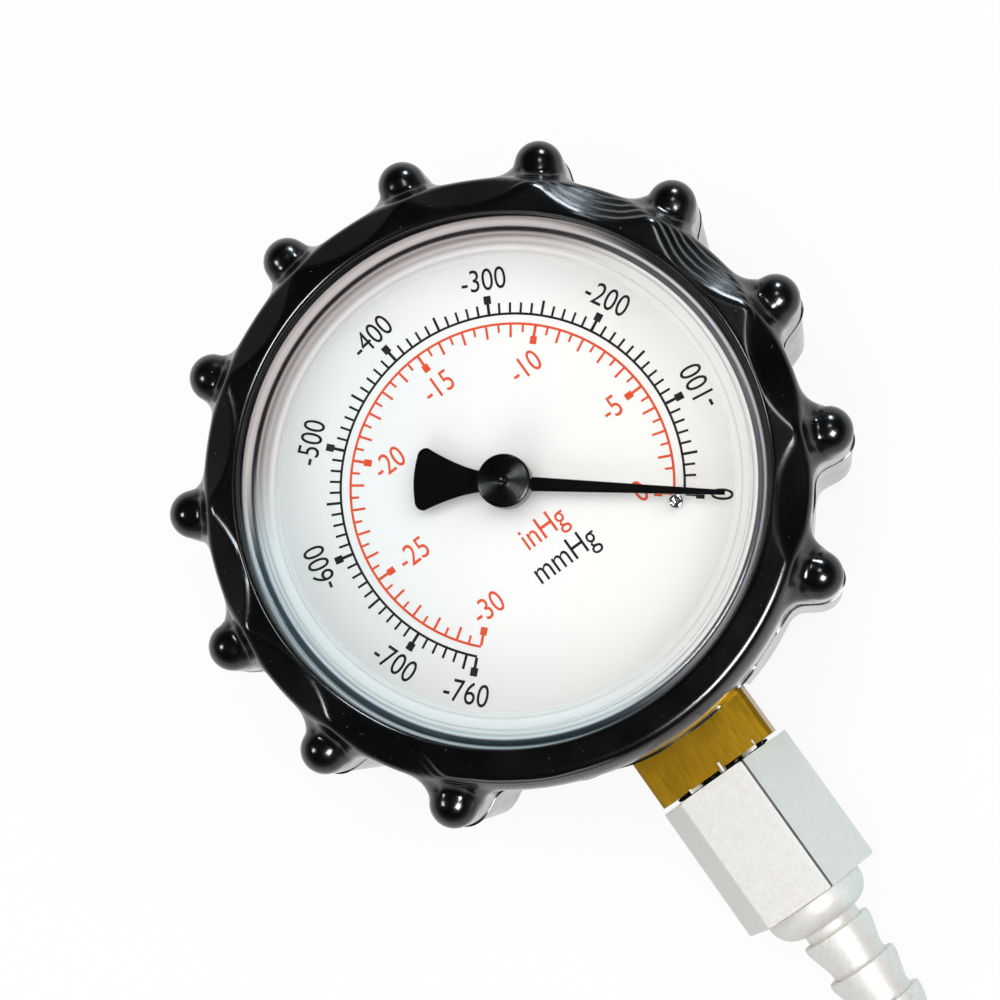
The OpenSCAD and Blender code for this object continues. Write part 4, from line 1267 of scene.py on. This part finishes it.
@dataclass
class Pointer:
    """Needle with a flared tail on a coned hub, and the stop pin that it rests against.

    The hub's dimple and the pin's hollow are given as radii and depths.
    """

    zero: float = -38.7
    low_z: float = 26.7
    high_z: float = 27.1
    bevel: float = 0.08
    needle_l: float = 22.6
    needle_from: float = 2.2
    needle_half: float = 0.75
    tip_half: float = 0.25
    tail_l: float = 9.9
    tail_from: float = 2.1
    tail_half: float = 3.3
    neck_half: float = 1.05
    tail_round: float = 0.95
    tail_bulge: float = 0.25
    knee_r: float = 2.3
    hub_r: float = 2.8
    hub_top: float = 29.9
    hub_neck_r: float = 1.35
    hub_neck_z: float = 25.9
    dimple: tuple[tuple[float, float], ...] = ((0, 0.3), (0.25, 0.26), (0.45, 0.12), (0.6, 0.0))
    stop_r: float = 17.7
    stop_top: float = 27.5
    stop_pin_r: float = 0.75
    stop_shank_r: float = 0.52
    stop_shank_z: float = 23.2
    hollow: tuple[tuple[float, float], ...] = ((0, 0.3), (0.22, 0.24), (0.34, 0.05))

    def outline(self) -> np.ndarray:
        """Outline of needle and tail, counter-clockwise from the tip.

        The tail's half width grows from its neck as the distance to the power 1.6, which gives hollow
        sides, two arcs round its corners, and a shallow parabola bulges its end.

        Returns:
            Points shaped (n, 2).
        """
        side = np.array([[self.needle_l, self.tip_half], [self.needle_from, self.needle_half]])
        knee = arc((0, 0), self.knee_r, 24, 152, 9)
        corner_at = (-self.tail_l + self.tail_round + self.tail_bulge, self.tail_half - self.tail_round)
        t = np.linspace(0, 1, 14)
        x = -self.tail_from + t * (corner_at[0] + 0.15 + self.tail_from)
        flare = np.stack([x, self.neck_half + (self.tail_half - 0.03 - self.neck_half) * t**1.6], -1)
        corner = arc(corner_at, self.tail_round, 84, 178, 7)
        y = np.linspace(corner_at[1] - 0.15, 0.15, 6)
        end = np.stack([-self.tail_l + self.tail_bulge * (y / corner_at[1]) ** 2, y], -1)
        upper = np.vstack([side, knee, flare, corner, end])
        lower = upper[::-1] * np.array([1, -1])
        return np.vstack([upper, lower])

    def turned(self, surface: Surface) -> Surface:
        """Turns a surface about the arbor to the pointer's rest direction."""
        c, s = math.cos(math.radians(self.zero)), math.sin(math.radians(self.zero))
        x, y = surface.points[:, 0].copy(), surface.points[:, 1].copy()
        surface.points[:, 0], surface.points[:, 1] = c * x - s * y, s * x + c * y
        return surface

    def hub(self) -> Surface:
        """Revolved hub: a boss with a shallow cone on top, a dimple in it and a neck below.

        Returns:
            The closed hub.
        """
        dimple = np.array([[r, self.hub_top - deep] for r, deep in self.dimple])
        t = np.linspace(0, 1, 40)
        turned = 0.003 * np.sin(t * 2 * np.pi * 9)
        face = np.stack([0.62 + t * (self.hub_r - 0.85), self.hub_top - 0.006 - 0.44 * t + turned], -1)
        edge = arc((self.hub_r - 0.2, self.hub_top - 0.67), 0.2, 80, 0, 6)
        foot = np.array([[self.hub_r, self.high_z], [self.hub_neck_r, self.high_z],
                         [self.hub_neck_r, self.hub_neck_z], [0, self.hub_neck_z]])
        return revolved(np.vstack([dimple, face, edge, foot]), 120)

    def stop(self) -> Surface:
        """Revolved stop pin with a rounded head and a small hollow.

        Returns:
            The closed pin at its place on the dial.
        """
        r, top = self.stop_pin_r, self.stop_top
        hollow = np.array([[radius, top - deep] for radius, deep in self.hollow])
        head = arc((r - 0.25, top - 0.25), 0.25, 90, 0, 6)
        foot = np.array([[r, FACE_Z + 0.25], [r, FACE_Z], [self.stop_shank_r, FACE_Z],
                         [self.stop_shank_r, self.stop_shank_z], [0, self.stop_shank_z]])
        pin = revolved(np.vstack([hollow, head, foot]), 48)
        width = self.needle_half + (self.tip_half - self.needle_half) * self.stop_r / self.needle_l
        at = math.radians(self.zero) - math.asin((width + r + 0.05) / self.stop_r)
        pin.points[:, :2] += self.stop_r * np.array([math.cos(at), math.sin(at)])
        return pin

    def build(self, palette: Palette) -> None:
        """Makes the pointer, its hub and the stop pin in place of their solids."""
        blade = self.turned(outline_slab(self.outline(), self.low_z, self.high_z, self.bevel))
        piece = make_piece("pointer_blade", blade, Body.POINTER, [palette.pointer], 30)
        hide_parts("pointer")
        piece = make_piece("hub_boss", self.hub(), Body.POINTER, [palette.pointer], 40)
        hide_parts("pointer_hub")
        piece = make_piece("stop_peg", self.stop(), Body.HOUSING, [palette.chrome], 40)
        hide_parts("stop_pin")


# The stem and the coupling


@dataclass
class Coupling:
    """Hexagon with turned ends, a domed collar and a barbed hose tail, and the tape in its joint."""

    flats: float = 14.3
    top: float = 37.1
    length: float = 15.8
    turn: float = 10.5
    bevel: float = 0.3
    clearance: float = 0.5
    corner_cut: float = 0.03
    corner_round: float = 0.1
    bore_r: float = 5.17
    bore_l: float = 11.5
    collar_r: float = 5.8
    collar_l: float = 3.2
    barb_r: float = 4.0
    tail_r: float = 3.2
    barbs: int = 4
    pitch: float = 4.5
    land: float = 0.8
    tail_bore: float = 2.0
    columns: int = 720
    worn_half: float = 1.0
    tape_top: float = 36.62
    tuft_spread: float = 3.6
    tufts: tuple[Triple, ...] = ((86.0, 2.25, 0.95), (56.0, 3.5, 0.75), (117.0, 2.95, 0.3))

    def surface(self) -> Surface:
        """Outside and bore as one profile carried round the stem.

        On the hexagon's rows the radius is the smaller of the turned bevel's cone and the flat's distance,
        which is half the width over the cosine of the angle from the flat's middle, rounded at the corners.

        Returns:
            The closed coupling, with finish 1 on the hexagon's worn edges.
        """
        corner = self.flats / 2 / math.cos(math.radians(30))
        face, clear = corner - self.bevel, corner + self.clearance
        rise = (clear - face) * math.tan(math.radians(30))
        z = np.concatenate([np.linspace(0, rise, 8), np.linspace(rise, self.length - rise, 16)[1:-1],
                            np.linspace(self.length - rise, self.length, 8)])
        cone = np.minimum(clear, np.minimum(face + z / rise * (clear - face),
                                            face + (self.length - z) / rise * (clear - face)))
        hexagon = np.stack([cone, z], -1)
        dome = self.collar_r - self.tail_r
        shoulder = arc((self.tail_r, self.length + self.collar_l - dome), dome, 0, 88, 12)
        foot = [[self.collar_r - 0.25, self.length], [self.collar_r, self.length + 0.25]]
        collar = np.vstack([foot, shoulder])
        start = self.length + self.collar_l + np.arange(self.barbs)[:, None] * self.pitch
        r = np.array([self.tail_r, self.tail_r, self.barb_r - 0.08, self.barb_r, self.barb_r])
        step = self.pitch * 0.25
        along = np.array([0.15, step, step, step + 0.08, step + self.land])
        tail = np.stack([np.broadcast_to(r, (self.barbs, 5)), start + along], -1).reshape(-1, 2)
        end = self.length + self.collar_l + self.barbs * self.pitch
        inside = np.array([[self.tail_r, end - 0.1], [self.tail_r - 0.15, end], [self.tail_bore, end],
                           [self.tail_bore, self.bore_l], [self.bore_r, self.bore_l], [self.bore_r, 0.4],
                           [self.bore_r + 0.4, 0]])
        rows = np.vstack([hexagon, collar, tail, inside])
        a = np.linspace(0, 360, self.columns, endpoint=False)
        flat = self.flats / 2 / np.cos(np.radians(np.mod(a - self.turn, 60) - 30))
        flat = smooth_min(flat, np.full_like(flat, corner - self.corner_cut), self.corner_round)
        radius = np.repeat(rows[:, :1], self.columns, 1)
        n = len(hexagon)
        radius[:n] = np.minimum(flat[None, :], radius[:n])
        turn = np.radians(a)
        height = np.repeat(rows[:, 1:], self.columns, 1) + self.top
        points = np.stack([radius * np.cos(turn), radius * np.sin(turn), height], -1)
        surface = grid_surface(down_stem(points), True, True)
        worn = np.abs(a + 0.5 * 360 / self.columns - self.turn - 60) < self.worn_half
        kinds = np.zeros((len(rows), self.columns), int)
        kinds[:n - 1, worn] = 1
        surface.finish = kinds.ravel().tolist()
        return surface

    def tape(self) -> Surface:
        """Frill of sealing tape: a sleeve whose outer edge stands out by an uneven amount, with three tufts.

        Each tuft is a bell curve of the angle, given by its direction, its height and how far its edge leans
        over the stem's end.

        Returns:
            The closed frill.
        """
        a = np.linspace(0, 2 * np.pi, 220, endpoint=False)
        wild = ripple(a, 0 * a, 11, 1.0) + ripple(3.7 * a, 0 * a, 12, 1.0)
        frill = np.clip(0.3 + 1.2 * wild, 0.05, 0.75)
        lean = np.zeros_like(a)
        for way, high, over in self.tufts:
            tuft = np.exp(-((np.degrees(a) - way) / self.tuft_spread) ** 2)
            frill, lean = np.maximum(frill, high * tuft), np.maximum(lean, over * tuft)
        base = np.array([[5.0, 0.0, 0.0], [5.1, 0.02, 0.5], [5.12, 0.12, 1.0], [5.12, 0.34, 0.97],
                         [5.12, 0.44, 0.4], [5.12, 0.7, 0.1], [5.12, 9.0, 0.0], [5.0, 9.0, 0.0]])
        radius = base[:, :1] + base[:, 2:] * frill[None, :]
        sway = 0.1 * np.sin(9 * a + 1)[None, :] * base[:, 2:]
        height = base[:, 1:2] + self.tape_top + sway * 0.5 - np.where(base[:, 2:] == 1, lean, 0)
        points = np.stack([radius * np.cos(a), radius * np.sin(a), np.broadcast_to(height, radius.shape)], -1)
        return grid_surface(down_stem(points), True, True)

    def build(self, palette: Palette) -> None:
        """Makes the coupling and its tape in place of their solids."""
        finishes = [palette.zinc, palette.worn]
        piece = make_piece("coupling_body", self.surface(), Body.HOUSING, finishes, 24)
        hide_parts("hose_coupling")
        piece = make_piece("tape_frill", self.tape(), Body.HOUSING, [palette.tape], 50)
        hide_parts("thread_tape")


@dataclass
class Tube:
    """Bourdon tube: a flat oval bent round the movement."""

    bend_r: float = 20.0
    thick: float = 2.4
    tall: float = 7.0
    middle_z: float = 9.0
    first: float = -20.0
    last: float = 262.0
    stations: int = 160

    def surface(self) -> Surface:
        """Flat oval section, carried along the bend; its ends are closed.

        Returns:
            The closed tube.
        """
        half = (self.tall - self.thick) / 2
        upper = arc((0, half), self.thick / 2, 0, 180, 12)
        lower = arc((0, -half), self.thick / 2, 180, 360, 12)
        section = np.vstack([upper, lower])
        a = np.radians(np.linspace(self.first, self.last, self.stations))[:, None]
        r = self.bend_r + section[:, 0][None, :]
        z = np.broadcast_to(self.middle_z + section[:, 1][None, :], (self.stations, len(section)))
        surface = grid_surface(np.stack([r * np.cos(a), r * np.sin(a), z], -1), False, True)
        n = len(section)
        surface.faces += [list(range(n)), list(range((self.stations - 1) * n, self.stations * n))]
        return surface

    def build(self, palette: Palette) -> None:
        """Makes the tube in place of its solid, on no body, with its place baked into its points."""
        piece = make_piece("tube_bent", self.surface(), None, [palette.bronze], 40)
        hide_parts("bourdon_tube")
        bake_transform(piece)


class Nodes:
    """Finishes of the solids that stay as they are."""

    def __init__(self, palette: Palette) -> None:
        """Takes the palette."""
        self.finish = {
            "case": palette.case, "dial": palette.dial, "brass_socket": palette.brass,
            "pinion_arbor": palette.works, "hairspring": palette.bronze,
            "hairspring_collet": palette.works, "hairspring_stud": palette.works,
            "sector_gear": palette.works, "sector_shaft": palette.steel, "link": palette.works,
            "tail_pin": palette.steel, "tip_pin": palette.steel, "tube_tip": palette.works,
            "back_plate": palette.works, "front_plate": palette.works, "plate_pillars": palette.works,
            "plate_screws": palette.steel, "movement_screws": palette.steel, "case_screws": palette.steel,
        }

    def dress(self) -> None:
        """Gives each solid its finish."""
        for name, material in self.finish.items():
            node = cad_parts[name]
            node.data.materials.clear()
            node.data.materials.append(material)
            LOG.info("%s: dressed as %s", name, material.name)


# The studio


@dataclass(frozen=True)
class Lamp:
    """Square lamp that faces the gauge: a glint only shows in mirrors, and any other lamp only lights.

    Its place and its side are in metres and its power is in watts.
    """

    name: str
    at: Triple
    side: float
    power: float
    colour: Colour
    glint: bool = False

    def build(self) -> None:
        """Adds the lamp to the scene."""
        data = bpy.data.lights.new(self.name, "AREA")
        data.size, data.energy, data.color = self.side, self.power, self.colour
        lamp = bpy.data.objects.new(self.name, data)
        lamp.location = self.at
        lamp.rotation_euler = (Vector() - lamp.location).to_track_quat("-Z", "Y").to_euler()
        lamp.visible_glossy, lamp.visible_diffuse = self.glint, not self.glint
        bpy.context.scene.collection.objects.link(lamp)


@dataclass
class Studio:
    """Floor, lamps, world and the camera at the reader's place."""

    tilt: float = 0.183908
    swing: float = -1.163141
    roll: float = -0.617115
    distance: float = 220.0
    focal: float = 2091.607
    aim: tuple[float, float] = (-1.803, -0.610)
    sensor: float = 36.0
    frame_px: float = 1000.0
    ambient: float = 0.3
    ambient_tint: Colour = (0.95, 0.97, 1.0)
    level: float = 0.5
    overhead: float = 0.03
    ceiling: tuple[float, float] = (0.05, 0.45)
    floor_half: float = 3.0
    floor_z: float = -0.0005
    floor_tone: Colour = (0.9, 0.9, 0.9)
    floor_glow: float = 0.9
    lamps: tuple[Lamp, ...] = (
        Lamp("key", (0.0, 0.08, 0.75), 0.5, 2.9, (1.0, 0.995, 0.985)),
        Lamp("fill", (0.4, -0.1, 0.6), 0.4, 1.1, (1.0, 0.97, 0.94)),
        Lamp("cool", (-0.4, -0.3, 0.5), 0.4, 1.3, (0.92, 0.97, 1.0)),
        Lamp("glint", (0.1, -0.28, 0.52), 0.19, 4.6, (0.97, 0.99, 1.0), True),
        Lamp("glint_left", (-0.36, 0.18, 0.45), 0.12, 1.1, (0.9, 0.96, 1.0), True),
        Lamp("glint_right", (0.17, 0.06, 0.5), 0.1, 0.35, (0.9, 0.96, 1.0), True),
        Lamp("sky", (0.4, 0.31, 0.32), 0.12, 2.2, (0.78, 0.9, 1.0), True),
    )

    def camera(self) -> None:
        """Sets the camera on the dial's axis, tilted, swung and rolled."""
        d = np.array([math.sin(self.tilt) * math.cos(self.swing), math.sin(self.tilt) * math.sin(self.swing),
                      math.cos(self.tilt)])
        eye = d * self.distance + np.array([*self.aim, FACE_Z])
        right = np.cross(-d, [0, 1, 0])
        right /= np.linalg.norm(right)
        up = np.cross(right, -d)
        c, s = math.cos(self.roll), math.sin(self.roll)
        across, above = c * right + s * up, -s * right + c * up
        data = bpy.data.cameras.new("camera")
        data.sensor_fit, data.sensor_width = "HORIZONTAL", self.sensor
        data.lens = self.focal / self.frame_px * self.sensor
        data.clip_start, data.clip_end = 0.01, 20.0
        camera = bpy.data.objects.new("camera", data)
        matrix = Matrix.Identity(4)
        for row in range(3):
            matrix[row][0], matrix[row][1], matrix[row][2] = across[row], above[row], d[row]
            matrix[row][3] = eye[row] * MM
        camera.matrix_world = matrix
        bpy.context.scene.collection.objects.link(camera)
        bpy.context.scene.camera = camera

    def seen(self, tree: Tree, *kinds: str) -> bpy.types.NodeSocket:
        """One where a ray of one of the kinds asks, and zero for all others: the largest of their flags.

        Args:
            tree: node tree to add to.
            kinds: kinds of rays, such as Camera or Glossy.

        Returns:
            The factor socket.
        """
        path = tree.node("LightPath")
        flags = [path.outputs[f"Is {kind} Ray"] for kind in kinds]
        largest = flags[0]
        for flag in flags[1:]:
            largest = tree.maths("MAXIMUM", largest, flag)
        return largest

    def world(self) -> None:
        """White background; mirrors see it too, but dimmer overhead, as below a dark ceiling."""
        world = bpy.data.worlds.new("studio")
        bpy.context.scene.world = world
        world.use_nodes = True
        tree = Tree(world.node_tree)
        light = tree.node("Background", Color=(*self.ambient_tint, 1), Strength=self.ambient)
        white, mirrored = tree.node("Background", Strength=1.0), tree.node("Background")
        split = tree.node("SeparateXYZ")
        tree.link(tree.node("TexCoord").outputs["Generated"], split.inputs[0])
        dimmer = tree.remap(split.outputs["Z"], self.ceiling, (self.level, self.overhead))
        tree.link(dimmer, mirrored.inputs["Strength"])
        bounced = tree.mix(self.seen(tree, "Glossy"), light, mirrored)
        shown = tree.mix(self.seen(tree, "Camera", "Transmission"), bounced, white)
        tree.link(shown.outputs[0], tree.node("OutputWorld").inputs[0])

    def floor(self) -> None:
        """Pale floor under the gauge: mostly plain white to the eye, with a share that keeps the shadow."""
        half = self.floor_half
        mesh = bpy.data.meshes.new("floor")
        corners = [(-half, -half, 0), (half, -half, 0), (half, half, 0), (-half, half, 0)]
        mesh.from_pydata(corners, [], [[0, 1, 2, 3]])
        material = bpy.data.materials.new("floor_white")
        material.use_nodes = True
        tree = Tree(material.node_tree)
        matt = tree.node("BsdfDiffuse", Color=(*self.floor_tone, 1))
        glow = tree.node("Emission", Strength=1.0)
        share = tree.maths("MULTIPLY", self.seen(tree, "Camera", "Transmission", "Glossy"), self.floor_glow)
        tree.link(tree.mix(share, matt, glow).outputs[0], tree.node("OutputMaterial").inputs[0])
        mesh.materials.append(material)
        floor = bpy.data.objects.new("floor", mesh)
        floor.location = (0, 0, self.floor_z)
        bpy.context.scene.collection.objects.link(floor)

    def build(self) -> None:
        """Sets the whole studio."""
        bpy.context.scene.view_settings.view_transform = "Standard"
        self.camera()
        self.world()
        self.floor()
        for lamp in self.lamps:
            lamp.build()


def main() -> None:
    """Builds the gauge's looks piece by piece."""
    logging.basicConfig(level=logging.INFO, format="%(message)s")
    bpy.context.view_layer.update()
    palette = Palette()
    for part in (Boot(), Lens(), Print(), Pointer(), Coupling(), Tube()):
        part.build(palette)
    Nodes(palette).dress()
    Studio().build()
    bpy.context.view_layer.update()


if __name__ == "__main__":
    main()
